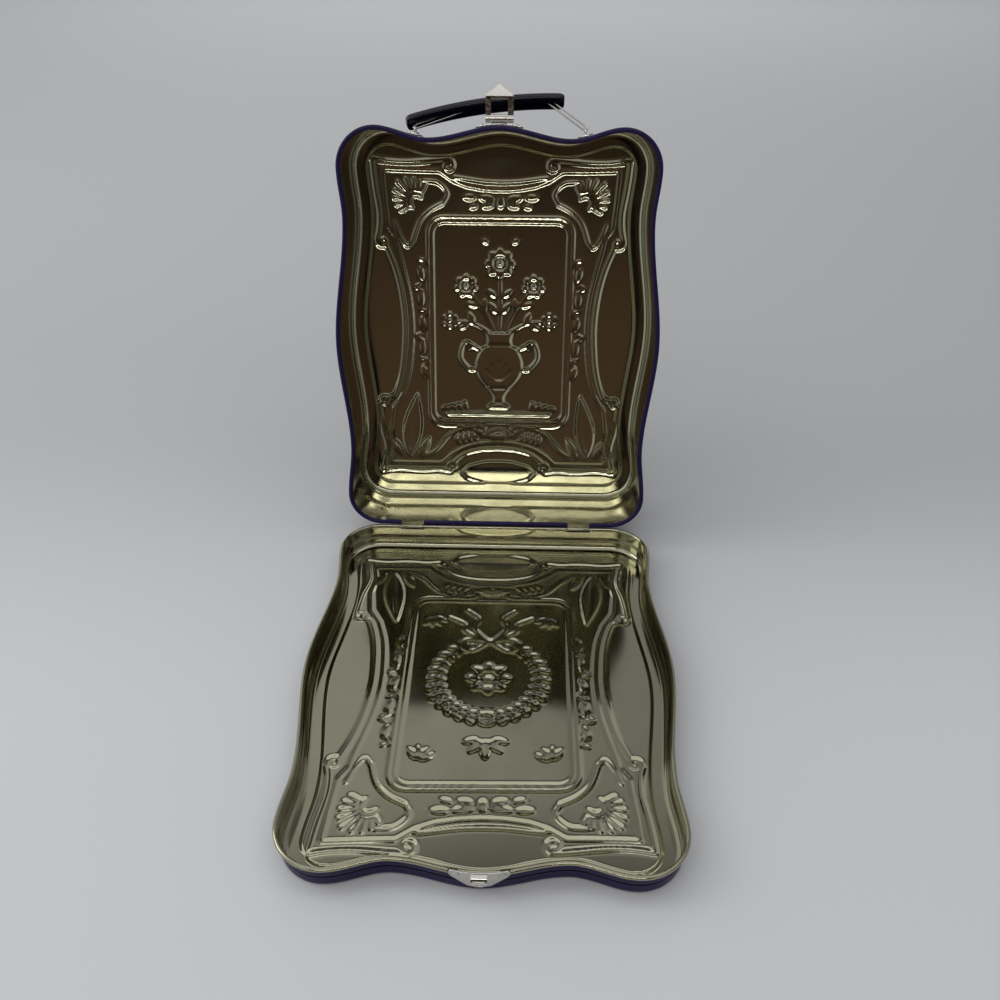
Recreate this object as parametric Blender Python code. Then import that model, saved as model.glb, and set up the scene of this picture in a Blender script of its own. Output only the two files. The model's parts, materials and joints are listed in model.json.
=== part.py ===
"""Tin lunch box, open: a shallow lid lying face down and a deep shell standing on its hinge edge.

Both halves are a folded side band closed by a drawn, embossed face panel. The deep shell turns on a
wire in the lid's rolled rim, and it carries a wire-hung carrying handle and a snap latch.

Outline coordinates: u is sideways, v runs from the hinge edge to the latch crest, o is outward from
the deep shell's wall and w is the depth behind a rim, towards that half's face panel.
"""
import math

import bmesh
import bpy
from mathutils import Vector
from mathutils.geometry import delaunay_2d_cdt

mm = 0.001

# Outline of the deep shell's wall, half breadths and where they lie
LENGTH = 224.4 * mm
HINGE_EDGE_HALF = 68.0 * mm
FOOT_HALF = 88.0 * mm
FOOT_AT = 18.5 * mm
LOW_WAIST_HALF = 85.4 * mm
LOW_WAIST_AT = 48.0 * mm
BULGE_HALF = 91.3 * mm
BULGE_AT = 110.0 * mm
HIGH_WAIST_HALF = 84.7 * mm
HIGH_WAIST_DROP = 47.4 * mm
SHOULDER_HALF = 87.0 * mm
SHOULDER_DROP = 21.4 * mm
HORN_HALF = 66.0 * mm
HORN_DROP = 0.2 * mm
DIP_HALF = 38.0 * mm
DIP_DROP = 6.2 * mm
CORNER_STEP = math.radians(18.0)
RUN_STEP = 23.0 * mm

# Depths, sheet and clearances
SHELL_DEPTH = 55.0 * mm
LID_DEPTH = 15.0 * mm
SHEET = 0.4 * mm
FIT = 0.3 * mm
FLOOR_GAP = 0.2 * mm
OVERCUT = 1.0 * mm

# Rolled rims and the hinge wire
BEAD_RADIUS = 1.3 * mm
CURL_INNER = 0.7 * mm
HINGE_WIRE_RADIUS = 0.45 * mm
RIM_NEST = 2.0 * mm
TAB_AT = 50.0 * mm
TAB_WIDTH = 12.9 * mm
WIRE_OVERRUN = 7.0 * mm
TONGUE_SHEET = 0.36 * mm
TONGUE_ROOT = 1.2 * mm
TONGUE_BEND = 1.3 * mm
TONGUE_CURL_START = math.radians(172.0)
TONGUE_CURL_END = math.radians(400.0)

# Face panels
SEAM_DEPTH = 7.0 * mm
SEAM_LAP = 3.6 * mm
FOLD_RADIUS = 3.0 * mm
FACE_RING = 5.0 * mm
FIELD_RECESS = 1.0 * mm
RELIEF_SETBACK = 0.15 * mm
RIB_BASE = 2.6 * mm
RIB_CROWN = 1.2 * mm
SCROLL_INSET = 14.0 * mm
SCROLL_OVERRUN = 15.5 * mm
SCROLL_GAP = 4.5 * mm
PICTURE_HALF = 42.5 * mm
PICTURE_LOW = 48.0 * mm
PICTURE_DROP = 50.0 * mm
PICTURE_CORNER = 9.0 * mm
CARTOUCHE_AT = 15.5 * mm
CARTOUCHE_HALF = 21.5 * mm
CARTOUCHE_HEIGHT = 10.0 * mm
CARTOUCHE_GAP = 2.0 * mm
TOP_ARC_DROP = 21.0 * mm
ARC_HALF = 27.0 * mm
ARC_RISE = 9.0 * mm
VASE_HEIGHT = 58.0 * mm
VASE_HALF = 15.0 * mm
WREATH_RADIUS = 26.0 * mm

# Latch on the deep shell
LATCH_SHEET = 0.7 * mm
BASE_WIDTH = 25.0 * mm
BASE_TOP = 2.6 * mm
BASE_HEIGHT = 14.0 * mm
BASE_TAPER = 0.45
KNUCKLE_RADIUS = 2.4 * mm
KNUCKLE_WIDTH = 8.3 * mm
FOOT_CLEAR = 0.2 * mm
FOOT_BELOW = 0.3 * mm
FOOT_ABOVE = 2.2 * mm
LATCH_PIN_RADIUS = 1.05 * mm
PIN_DEPTH = 5.0 * mm
HASP_WIDTH = 14.8 * mm
HASP_EYE_START = math.radians(52.0)
HASP_BAR_AT = 9.4 * mm
HASP_BAR_HEIGHT = 1.8 * mm
BAR_SWELL = 0.25 * mm
FLANGE_LENGTH = 6.0 * mm
FLANGE_POINT_HALF = 0.9 * mm
FLANGE_ANGLE = math.radians(15.0)
RIVET_RADIUS = 1.5 * mm
RIVET_HEIGHT = 0.8 * mm
LATCH_RIVET_AT = 9.0 * mm
LATCH_RIVET_DEPTH = 8.0 * mm

# Keeper on the lid
KEEPER_WIDTH = 25.2 * mm
KEEPER_FOOT = 9.0 * mm
KEEPER_HEIGHT = 9.3 * mm
NOSE_WIDTH = 6.8 * mm
NOSE_REACH = 2.6 * mm
NOSE_TIP = 6.0 * mm
KEEPER_EDGE = 0.2 * mm
KEEPER_END = 3.2 * mm
TANG_AT = 9.4 * mm
TANG_DEPTH = 3.0 * mm
TANG_RADIUS = 1.5 * mm
TANG_WIDTH = 0.6 * mm
TANG_RISE = 0.35 * mm
NOSE_BOW = (
    (0.0, 0.16, 1.0), (0.6, 0.3, 1.0), (1.0, 0.55, 1.0),
    (1.0, 0.75, 0.9), (0.85, 0.9, 0.62), (0.75, 0.98, 0.25),
)

# Handle
EYE_AT = 46.5 * mm
EYE_DEPTH = 25.0 * mm
EYE_BEND = 2.6 * mm
EYE_WIRE = 0.45 * mm
EYE_HEIGHT = 1.6 * mm
EYE_PLATE_LONG = 15.0 * mm
EYE_PLATE_WIDE = 8.0 * mm
EYE_PLATE_THICK = 0.8 * mm
EYE_RIVET_EDGE = 0.6 * mm
LINK_WIRE = 0.5 * mm
LINK_SPREAD = 2.5 * mm
GRIP_ARC_RADIUS = 213.0 * mm
GRIP_LENGTH = 89.0 * mm
GRIP_WIDTH = 10.0 * mm
GRIP_THICK = 5.8 * mm
GRIP_LIP = 1.2 * mm
GRIP_END_WALL = 2.6 * mm
GRIP_END_SHAPE = ((0.0, 0.55), (0.8, 0.82), (2.2, 0.97), (4.5, 1.0))
LINK_PIN_LENGTH = 5.6 * mm
SLOT_PLAY = 0.35 * mm
SLOT_TRAVEL = 18.5 * mm
PIN_NEAR_END = 12.0 * mm
PIN_FAR_END = 8.0 * mm
GRIP_LEFT_SIDE = -51.7 * mm
GRIP_LEFT_HEIGHT = 4.9 * mm
GRIP_TILT = math.radians(10.8)
HANDLE_LEAN = math.radians(40.0)

# Places that follow from the sizes above
CURL_RADIUS = CURL_INNER + SHEET
LID_WALL_INSIDE = FIT + 0.05 * mm
LID_WALL_OUTSIDE = LID_WALL_INSIDE + SHEET
AXIS_OUT = LID_WALL_INSIDE + CURL_RADIUS
RIM_BELOW_AXIS = RIM_NEST - CURL_RADIUS
KEEPER_BACK = LID_WALL_OUTSIDE + FIT + 0.1 * mm
BASE_BACK = FIT
PIN_OUT = BASE_BACK + LATCH_SHEET + KNUCKLE_RADIUS
SIDES = ((-1, "left"), (1, "right"))


def material(name, colour, roughness, metallic):
    """A Principled material from an sRGB colour."""
    linear = [c / 12.92 if c <= 0.04045 else ((c + 0.055) / 1.055) ** 2.4 for c in colour]
    made = bpy.data.materials.new(name)
    made.use_nodes = True
    shader = made.node_tree.nodes["Principled BSDF"]
    shader.inputs["Base Color"].default_value = (*linear, 1.0)
    shader.inputs["Roughness"].default_value = roughness
    shader.inputs["Metallic"].default_value = metallic
    return made


def empty(name, location, turn_x=0.0, parent=None):
    """An axis marker; pieces that move with it are its children."""
    marker = bpy.data.objects.new(name, None)
    marker.location = location
    marker.rotation_euler = (turn_x, 0.0, 0.0)
    marker.parent = parent
    bpy.context.scene.collection.objects.link(marker)
    return marker


def solid(name, verts, faces, look=None, parent=None):
    """A closed mesh object with its faces turned outwards."""
    mesh = bpy.data.meshes.new(name)
    mesh.from_pydata([tuple(v) for v in verts], [], faces)
    work = bmesh.new()
    work.from_mesh(mesh)
    bmesh.ops.recalc_face_normals(work, faces=work.faces)
    work.to_mesh(mesh)
    work.free()
    mesh.shade_smooth()
    mesh.set_sharp_from_angle(angle=math.radians(32.0))
    made = bpy.data.objects.new(name, mesh)
    made.parent = parent
    if look is not None:
        mesh.materials.append(look)
    bpy.context.scene.collection.objects.link(made)
    return made


def combine(target, tool, operation):
    """Adds an exact Boolean of a hidden tool solid to a piece."""
    tool.hide_render = True
    tool.display_type = "WIRE"
    step = target.modifiers.new(tool.name, "BOOLEAN")
    step.operation = operation
    step.solver = "EXACT"
    step.object = tool


def hermite(start, heading, end, end_heading, t):
    """A point on the curve between two stations with given headings."""
    chord = (end - start).length
    pull = chord * (1.0 + 0.172 * abs(end_heading - heading) / (math.pi / 2))
    leave = Vector((math.cos(heading), math.sin(heading))) * pull
    arrive = Vector((math.cos(end_heading), math.sin(end_heading))) * pull
    a = 2 * t**3 - 3 * t**2 + 1
    b = t**3 - 2 * t**2 + t
    c = 3 * t**2 - 2 * t**3
    d = t**3 - t**2
    return start * a + leave * b + end * c + arrive * d


def stations():
    """The right half of the outline, hinge middle to latch crest, with headings in degrees."""
    return [
        (0.0, 0.0, 0),
        (HINGE_EDGE_HALF, 0.0, 0),
        (FOOT_HALF, FOOT_AT, 90),
        (LOW_WAIST_HALF, LOW_WAIST_AT, 90),
        (BULGE_HALF, BULGE_AT, 90),
        (HIGH_WAIST_HALF, LENGTH - HIGH_WAIST_DROP, 90),
        (SHOULDER_HALF, LENGTH - SHOULDER_DROP, 90),
        (HORN_HALF, LENGTH - HORN_DROP, 180),
        (DIP_HALF, LENGTH - DIP_DROP, 180),
        (0.0, LENGTH, 180),
    ]


def outline():
    """Points and outward normals round the outline, counter-clockwise from the hinge middle."""
    half = []
    rows = stations()
    for (u0, v0, h0), (u1, v1, h1) in zip(rows, rows[1:]):
        start, end = Vector((u0, v0)), Vector((u1, v1))
        heading, end_heading = math.radians(h0), math.radians(h1)
        chord = end - start
        wave = 3.0 * chord.angle(Vector((math.cos(heading), math.sin(heading))))
        turning = end_heading - heading if h1 > h0 else wave
        count = max(2, math.ceil(turning / CORNER_STEP + chord.length / RUN_STEP))
        if v0 == v1:
            count = 2
        for i in range(count):
            half.append(hermite(start, heading, end, end_heading, i / count))
    crest = Vector((0.0, LENGTH))
    mirrored = [Vector((-p.x, p.y)) for p in reversed(half[1:])]
    points = half + [crest] + mirrored
    normals = []
    for i, p in enumerate(points):
        along = points[(i + 1) % len(points)] - points[i - 1]
        normals.append(Vector((along.y, -along.x)).normalized())
    return list(zip(points, normals))


def wall_place(u):
    """The latch-side wall at a sideways place: its v and its outward normal."""
    rows = [(Vector((a, b)), math.radians(h)) for a, b, h in stations()[7:]]
    side = -1.0 if u < 0 else 1.0
    reach = abs(u)
    start, end = (rows[0], rows[1]) if reach > rows[1][0].x else (rows[1], rows[2])
    low, high = 0.0, 1.0
    for _ in range(40):
        middle = (low + high) / 2
        if hermite(*start, *end, middle).x > reach:
            low = middle
        else:
            high = middle
    here = hermite(*start, *end, low)
    there = hermite(*start, *end, low + 1e-3)
    along = there - here
    normal = Vector((along.y * side, -along.x)).normalized()
    return here.y, normal


def shell_point(u, v, w):
    """Deep shell's own frame, closed on the lid, with its origin on the hinge axis."""
    return Vector((u, -(v + AXIS_OUT), w - RIM_BELOW_AXIS))


def lid_point(u, v, w):
    """Lid's own frame, with its origin on the hinge axis."""
    return Vector((u, -(v + AXIS_OUT), CURL_RADIUS - w))


def swept_band(name, section, place, look, parent):
    """A closed side band: one wall section carried round the outline."""
    path = outline()
    verts = []
    for point, normal in path:
        for o, w in section:
            at = point + normal * o
            verts.append(place(at.x, at.y, w))
    size = len(section)
    faces = []
    for i in range(len(path)):
        j = (i + 1) % len(path)
        for k in range(size):
            m = (k + 1) % size
            faces.append((i * size + k, j * size + k, j * size + m, i * size + m))
    return solid(name, verts, faces, look, parent)


def arc(centre, radius, start, end, steps):
    """Points on an arc in a section plane, its angles in degrees from the first axis to the second."""
    points = []
    for i in range(steps + 1):
        angle = math.radians(start + (end - start) * i / steps)
        points.append((centre[0] + radius * math.cos(angle), centre[1] + radius * math.sin(angle)))
    return points


def seam_end(wall_out, seam_at):
    """Outer and inner points of a band's end, stepped in under the face panel's skirt."""
    step = SHEET + FIT
    outer = [
        (wall_out, seam_at - 0.8 * mm),
        (wall_out - step, seam_at + 0.2 * mm),
        (wall_out - step, seam_at + SEAM_LAP),
    ]
    inner = [
        (wall_out - step - SHEET, seam_at + SEAM_LAP),
        (wall_out - step - SHEET, seam_at),
        (wall_out - SHEET, seam_at - 1.0 * mm),
    ]
    return outer, inner


def deep_band(look, parent):
    """The deep shell's wall, its rim rolled inwards into a closed bead, with two hinge tongues."""
    outer, inner = seam_end(0.0, SHELL_DEPTH - SEAM_DEPTH)
    meet = math.degrees(math.acos((BEAD_RADIUS - SHEET) / BEAD_RADIUS))
    bead = arc((-BEAD_RADIUS, BEAD_RADIUS), BEAD_RADIUS, 0.0, meet - 360.0, 8)
    band = swept_band("deep_band", bead[::-1] + outer + inner, shell_point, look, parent)
    for side in (-1, 1):
        middle = side * TAB_AT
        half = TAB_WIDTH / 2 + FIT
        gap = block(
            f"bead_gap_{side}", parent,
            (middle - half, middle + half),
            (-(AXIS_OUT + 2 * BEAD_RADIUS + OVERCUT), -AXIS_OUT + FIT),
            (-RIM_BELOW_AXIS - OVERCUT, -RIM_BELOW_AXIS + 2 * BEAD_RADIUS + FIT),
        )
        combine(band, gap, "DIFFERENCE")
        combine(band, hinge_tongue(f"tongue_{side}", parent, middle), "UNION")
    return band


def hinge_tongue(name, parent, middle):
    """A strip of the band left unrolled, set out to the axis and curled round the hinge wire."""
    ring = CURL_INNER + SHEET / 2
    wall_y = -(AXIS_OUT + SHEET / 2)
    root_z = -RIM_BELOW_AXIS + 2 * BEAD_RADIUS + FIT + TONGUE_ROOT
    centre_line = [Vector((wall_y, root_z)), Vector((wall_y, ring + TONGUE_BEND))]
    for i in range(9):
        angle = TONGUE_CURL_START + (TONGUE_CURL_END - TONGUE_CURL_START) * i / 8
        centre_line.append(Vector((ring * math.cos(angle), ring * math.sin(angle))))
    return strip(
        name, parent, centre_line, TONGUE_SHEET, middle - TAB_WIDTH / 2, middle + TAB_WIDTH / 2)


def strip(name, parent, centre_line, thick, low_x, high_x, look=None):
    """A bent strip of even thickness: its side profile in y and z, pressed out along x."""
    left, right = strip_faces(centre_line, thick)
    return prism(name, parent, left + right[::-1], low_x, high_x, look)


def strip_faces(centre_line, thick):
    """The two faces of a bent sheet in section, mitred at its bends."""
    left, right = [], []
    last = len(centre_line) - 1
    for i, p in enumerate(centre_line):
        along = (centre_line[min(i + 1, last)] - centre_line[max(i - 1, 0)]).normalized()
        across = Vector((-along.y, along.x)) * thick / 2
        if 0 < i < last:
            first = (p - centre_line[i - 1]).normalized()
            across /= max(0.5, abs(across.normalized().dot(Vector((-first.y, first.x)))))
        left.append(p + across)
        right.append(p - across)
    return left, right


def ribbon(name, parent, rows):
    """A sheet whose width changes along its length: rows of half width and two y-z places."""
    verts, faces = [], []
    for wide, first, second in rows:
        verts += [(-wide, *first), (wide, *first), (wide, *second), (-wide, *second)]
    for i in range(len(rows) - 1):
        a, b = 4 * i, 4 * i + 4
        for k in range(4):
            m = (k + 1) % 4
            faces.append((a + k, a + m, b + m, b + k))
    faces.append((0, 1, 2, 3))
    top = 4 * (len(rows) - 1)
    faces.append((top, top + 1, top + 2, top + 3))
    return solid(name, verts, faces, None, parent)


def prism(name, parent, profile, low_x, high_x, look=None):
    """A y-z profile pressed out along x."""
    count = len(profile)
    verts = [(low_x, p[0], p[1]) for p in profile] + [(high_x, p[0], p[1]) for p in profile]
    faces = [tuple(range(count)), tuple(range(2 * count - 1, count - 1, -1))]
    for i in range(count):
        j = (i + 1) % count
        faces.append((i, j, count + j, count + i))
    return solid(name, verts, faces, look, parent)


def block(name, parent, xs, ys, zs, look=None):
    """A box between pairs of limits."""
    profile = [(ys[0], zs[0]), (ys[1], zs[0]), (ys[1], zs[1]), (ys[0], zs[1])]
    return prism(name, parent, profile, xs[0], xs[1], look)


def tube(name, parent, path, radius, sides, look=None, closed=False):
    """A round wire along a path of 3-D points, with flat ends or closed on itself in a plane."""
    verts, faces = [], []
    count = len(path)
    across = None
    for i, p in enumerate(path):
        after = path[(i + 1) % count] if closed else path[min(i + 1, count - 1)]
        before = path[i - 1] if closed else path[max(i - 1, 0)]
        along = (after - before).normalized()
        if across is None:
            across = Vector((0.0, 1.0, 0.0)) if closed else along.orthogonal().normalized()
        across = (across - along * across.dot(along)).normalized()
        third = along.cross(across)
        for k in range(sides):
            angle = 2 * math.pi * k / sides
            verts.append(p + (across * math.cos(angle) + third * math.sin(angle)) * radius)
    for i in range(count if closed else count - 1):
        j = (i + 1) % count
        for k in range(sides):
            m = (k + 1) % sides
            faces.append((i * sides + k, i * sides + m, j * sides + m, j * sides + k))
    if not closed:
        faces.append(tuple(range(sides)))
        faces.append(tuple(range(count * sides - 1, (count - 1) * sides - 1, -1)))
    return solid(name, verts, faces, look, parent)


def lid_band(look, parent):
    """The lid's wall, its rim curled outwards, notched at the hinge tongues and at the keeper."""
    outer, inner = seam_end(LID_WALL_OUTSIDE, LID_DEPTH - SEAM_DEPTH)
    centre = (AXIS_OUT, CURL_RADIUS)
    curl_out = arc(centre, CURL_RADIUS, -180.0, 105.0, 7)
    curl_in = arc(centre, CURL_INNER, 105.0, -180.0, 7)
    section = inner + curl_out + curl_in + outer
    band = swept_band("lid_band", section, lid_point, look, parent)
    room = CURL_RADIUS + SHEET
    for side in (-1, 1):
        middle = side * TAB_AT
        half = TAB_WIDTH / 2 + 2 * FIT
        notch = block(
            f"curl_notch_{side}", parent,
            (middle - half, middle + half),
            (-room, 2 * room),
            (-room, 2 * room),
        )
        combine(band, notch, "DIFFERENCE")
    low, high = -OVERCUT, 2 * CURL_RADIUS + FIT
    outside = AXIS_OUT + CURL_RADIUS + OVERCUT
    seat = wall_plate(
        "keeper_notch", parent, lid_point, KEEPER_WIDTH / 2 + FIT,
        LID_WALL_OUTSIDE + FIT / 3, outside, lambda u: (low, high),
    )
    combine(band, seat, "DIFFERENCE")
    return band


def wall_plate(name, parent, place, half, back, front, span, look=None, middle=0.0, columns=8):
    """A plate that follows the latch-side wall, with its depth limits given for each place."""
    verts, faces = [], []
    for i in range(columns + 1):
        u = middle - half + 2 * half * i / columns
        v, normal = wall_place(u)
        low, high = span(u)
        for o in (back, front):
            for w in (low, high):
                verts.append(place(u + normal.x * o, v + normal.y * o, w))
    for i in range(columns):
        a, b = 4 * i, 4 * i + 4
        for k, m in ((0, 1), (1, 3), (3, 2), (2, 0)):
            faces.append((a + k, b + k, b + m, a + m))
    faces.append((0, 1, 3, 2))
    faces.append((4 * columns, 4 * columns + 1, 4 * columns + 3, 4 * columns + 2))
    return solid(name, verts, faces, look, parent)


def contour_pair(points):
    """Base and crown outlines of a raised patch whose outline is given."""
    slope = (RIB_BASE - RIB_CROWN) / 2
    crown = []
    for i, p in enumerate(points):
        along = points[(i + 1) % len(points)] - points[i - 1]
        inward = Vector((-along.y, along.x)).normalized()
        crown.append(p + inward * slope)
    return [(points, 0), (crown, 1)]


def rib(path):
    """Base and crown outlines of a raised line along an open path."""
    loops = []
    for width, level in ((RIB_BASE, 0), (RIB_CROWN, 1)):
        left, right = [], []
        last = len(path) - 1
        for i, p in enumerate(path):
            along = (path[min(i + 1, last)] - path[max(i - 1, 0)]).normalized()
            across = Vector((-along.y, along.x)) * width / 2
            reach = along * width / 2 * ((i == last) - (i == 0))
            left.append(p + across + reach)
            right.append(p - across + reach)
        loops.append((right + left[::-1], level))
    return loops


def ring_rib(path):
    """Four outlines of a raised line along a closed counter-clockwise path."""
    loops = []
    for shift, level in ((RIB_BASE, 0), (RIB_CROWN, 1), (-RIB_CROWN, 1), (-RIB_BASE, 0)):
        loop = []
        for i, p in enumerate(path):
            along = path[(i + 1) % len(path)] - path[i - 1]
            outward = Vector((along.y, -along.x)).normalized()
            loop.append(p + outward * shift / 2)
        loops.append((loop, level))
    return loops


def corner_scrolls():
    """Raised lines that follow the outline round each of the four corners."""
    inset = [p - n * SCROLL_INSET for p, n in outline()]
    low_side = LOW_WAIST_AT + SCROLL_OVERRUN
    high_side = LENGTH - HIGH_WAIST_DROP - SCROLL_OVERRUN
    loops = []
    for side in (-1, 1):
        low = [p for p in inset if p.x * side > ARC_HALF + SCROLL_GAP and p.y < low_side]
        high = [p for p in inset if p.x * side > ARC_HALF and p.y > high_side]
        inner_end = Vector((side * (ARC_HALF + SCROLL_GAP), SCROLL_INSET))
        low = sorted(low, key=lambda p: math.atan2(p.y - low_side, p.x * side - ARC_HALF))
        high = sorted(high, key=lambda p: math.atan2(p.y - high_side, p.x * side - ARC_HALF))
        loops += rib([inner_end] + low)
        loops += rib(high)
    return loops


def rounded_panel():
    """The picture panel's raised border."""
    low, high = PICTURE_LOW, LENGTH - PICTURE_DROP
    path = []
    for sx, sy, first in ((1, -1, -90), (1, 1, 0), (-1, 1, 90), (-1, -1, 180)):
        edge = low if sy < 0 else high
        centre = Vector((sx * (PICTURE_HALF - PICTURE_CORNER), edge - sy * PICTURE_CORNER))
        for step in (0, 45, 90):
            angle = math.radians(first + step)
            path.append(centre + Vector((math.cos(angle), math.sin(angle))) * PICTURE_CORNER)
    return ring_rib(path)


def oval(centre, half_wide, half_high, count):
    """Points round an oval."""
    points = []
    for i in range(count):
        angle = 2 * math.pi * i / count
        points.append(centre + Vector((half_wide * math.cos(angle), half_high * math.sin(angle))))
    return points


def bow(foot, rise):
    """A raised arc that spans the middle, its ends at foot and its crown a rise away."""
    path = []
    for i in range(7):
        t = -1.0 + i / 3.0
        path.append(Vector((ARC_HALF * t, foot + rise * math.cos(t * math.pi / 2))))
    return rib(path)


def vase():
    """The standing vase in the deep shell's picture panel, from its half profile."""
    profile = [(0.45, 0.0), (0.5, 0.07), (0.22, 0.16), (0.75, 0.42), (1.0, 0.66), (0.62, 0.86), (0.8, 1.0)]
    base = (PICTURE_LOW + LENGTH - PICTURE_DROP - VASE_HEIGHT) / 2
    right = [Vector((VASE_HALF * a, base + VASE_HEIGHT * b)) for a, b in profile]
    left = [Vector((-p.x, p.y)) for p in reversed(right)]
    return contour_pair(right + left)


def wreath():
    """The round wreath in the lid's picture panel."""
    middle = Vector((0.0, (PICTURE_LOW + LENGTH - PICTURE_DROP) / 2))
    return ring_rib(oval(middle, WREATH_RADIUS, WREATH_RADIUS, 16))


def face_panel(name, depth, wall_out, motif, place, look, parent):
    """A drawn face: skirt over the band, rounded fold, flat outer ring and an embossed field."""
    edge = depth - SEAM_DEPTH + 0.1 * mm
    turn = depth - FOLD_RADIUS
    middle_out = FOLD_RADIUS * (1 - math.sqrt(0.5))
    inner_fold = FOLD_RADIUS - SHEET
    middle_in = FOLD_RADIUS - inner_fold * math.sqrt(0.5)
    ring_in = FOLD_RADIUS + FACE_RING
    outer_rings = [
        (wall_out, edge),
        (wall_out, turn),
        (wall_out - middle_out, depth - middle_out),
        (wall_out - FOLD_RADIUS, depth),
        (wall_out - ring_in, depth),
    ]
    inner_rings = [
        (wall_out - SHEET, edge),
        (wall_out - SHEET, turn),
        (wall_out - middle_in, depth - middle_in),
        (wall_out - FOLD_RADIUS, depth - SHEET),
        (wall_out - ring_in, depth - SHEET),
    ]
    path = outline()
    count = len(path)
    verts = []
    for o, w in outer_rings + inner_rings:
        for point, normal in path:
            at = point + normal * o
            verts.append(place(at.x, at.y, w))
    faces = []

    def bridge(first, second):
        for i in range(count):
            j = (i + 1) % count
            faces.append((first + i, first + j, second + j, second + i))

    for k in range(len(outer_rings) - 1):
        bridge(k * count, (k + 1) * count)
    start = len(outer_rings) * count
    for k in range(len(inner_rings) - 1):
        bridge(start + k * count, start + (k + 1) * count)
    bridge(0, start)

    field_edge = [p + n * (wall_out - ring_in - FIELD_RECESS) for p, n in path]
    triangles, places, levels = relief_plan(field_edge, motif)
    for lift, last_ring in ((0.0, (len(outer_rings) - 1) * count), (SHEET, start + 4 * count)):
        base = len(verts)
        for at, level in zip(places, levels):
            w = depth - (RELIEF_SETBACK if level else FIELD_RECESS) - lift
            verts.append(place(at.x, at.y, w))
        bridge(last_ring, base)
        for tri in triangles:
            faces.append(tuple(base + k for k in tri))
    return solid(name, verts, faces, look, parent)


def relief_plan(edge, motif):
    """Triangles over the field, with its edge points first, and each point's height level."""
    loops = corner_scrolls() + rounded_panel() + motif
    loops += contour_pair(oval(Vector((0.0, CARTOUCHE_AT)), CARTOUCHE_HALF, CARTOUCHE_HEIGHT / 2, 14))
    loops += bow(CARTOUCHE_AT + CARTOUCHE_HEIGHT / 2 + CARTOUCHE_GAP, ARC_RISE)
    loops += bow(LENGTH - TOP_ARC_DROP, -ARC_RISE)
    points = list(edge)
    levels = [0] * len(edge)
    lines = [(i, (i + 1) % len(edge)) for i in range(len(edge))]
    for loop, level in loops:
        base = len(points)
        points += loop
        levels += [level] * len(loop)
        lines += [(base + i, base + (i + 1) % len(loop)) for i in range(len(loop))]
    scale = 1.0 / mm
    scaled = [p * scale for p in points]
    made, _, tris, origins, _, _ = delaunay_2d_cdt(scaled, lines, [], 0, 1e-5)
    slot = {}
    for new, olds in enumerate(origins):
        for old in olds:
            slot[old] = new
    order = [slot[i] for i in range(len(edge))]
    order += [i for i in range(len(made)) if i not in set(order)]
    renumber = {old: new for new, old in enumerate(order)}
    places = [Vector(made[i]) / scale for i in order]
    heights = [levels[origins[i][0]] if origins[i] else 0 for i in order]
    kept = []
    for tri in tris:
        centre = sum((Vector(made[i]) / scale for i in tri), Vector((0.0, 0.0))) / 3
        if inside(centre, edge):
            kept.append([renumber[i] for i in tri])
    return kept, places, heights


def inside(point, loop):
    """Whether a point lies inside a closed outline."""
    hit = False
    for i, a in enumerate(loop):
        b = loop[i - 1]
        if (a.y > point.y) != (b.y > point.y):
            if point.x < (b.x - a.x) * (point.y - a.y) / (b.y - a.y) + a.x:
                hit = not hit
    return hit


def keeper(look, parent):
    """The lid's catch: a kite-shaped plate on the wall, a bowed nose for the hasp and two tangs."""
    front = KEEPER_BACK + LATCH_SHEET

    def span(u):
        t = max(0.0, abs(u) - KEEPER_FOOT / 2) / (KEEPER_WIDTH / 2 - KEEPER_FOOT / 2)
        return KEEPER_EDGE, KEEPER_EDGE + KEEPER_HEIGHT + (KEEPER_END - KEEPER_HEIGHT) * t

    plate = wall_plate(
        "keeper_plate", parent, lid_point, KEEPER_WIDTH / 2, KEEPER_BACK, front, span, look)
    root = KEEPER_BACK + LATCH_SHEET / 2
    centre_line = []
    for out, down, _ in NOSE_BOW:
        at = lid_point(0.0, LENGTH + root + out * NOSE_REACH, down * NOSE_TIP)
        centre_line.append(at.yz)
    faces = zip(NOSE_BOW, *strip_faces(centre_line, LATCH_SHEET))
    rows = [(bow[2] * NOSE_WIDTH / 2, left, right) for bow, left, right in faces]
    combine(plate, ribbon("nose", parent, rows), "UNION")
    for side, word in SIDES:
        combine(plate, tang(f"tang_{word}", parent, side * TANG_AT, front), "UNION")
    return plate


def tang(name, parent, middle, surface):
    """A half-round tongue of the wall, bent over the keeper's plate to hold it."""
    verts, faces = [], []
    steps = 8
    for i in range(steps + 1):
        angle = math.pi * i / steps
        for radius in (TANG_RADIUS - TANG_WIDTH / 2, TANG_RADIUS + TANG_WIDTH / 2):
            u = middle + radius * math.cos(angle)
            w = TANG_DEPTH - radius * math.sin(angle)
            v, normal = wall_place(u)
            for out in (surface - LATCH_SHEET / 2, surface + TANG_RISE):
                verts.append(lid_point(u + normal.x * out, v + normal.y * out, w))
    for i in range(steps):
        a, b = 4 * i, 4 * i + 4
        for k, m in ((0, 1), (1, 3), (3, 2), (2, 0)):
            faces.append((a + k, b + k, b + m, a + m))
    faces.append((0, 1, 3, 2))
    faces.append((4 * steps, 4 * steps + 1, 4 * steps + 3, 4 * steps + 2))
    return solid(name, verts, faces, None, parent)


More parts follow.
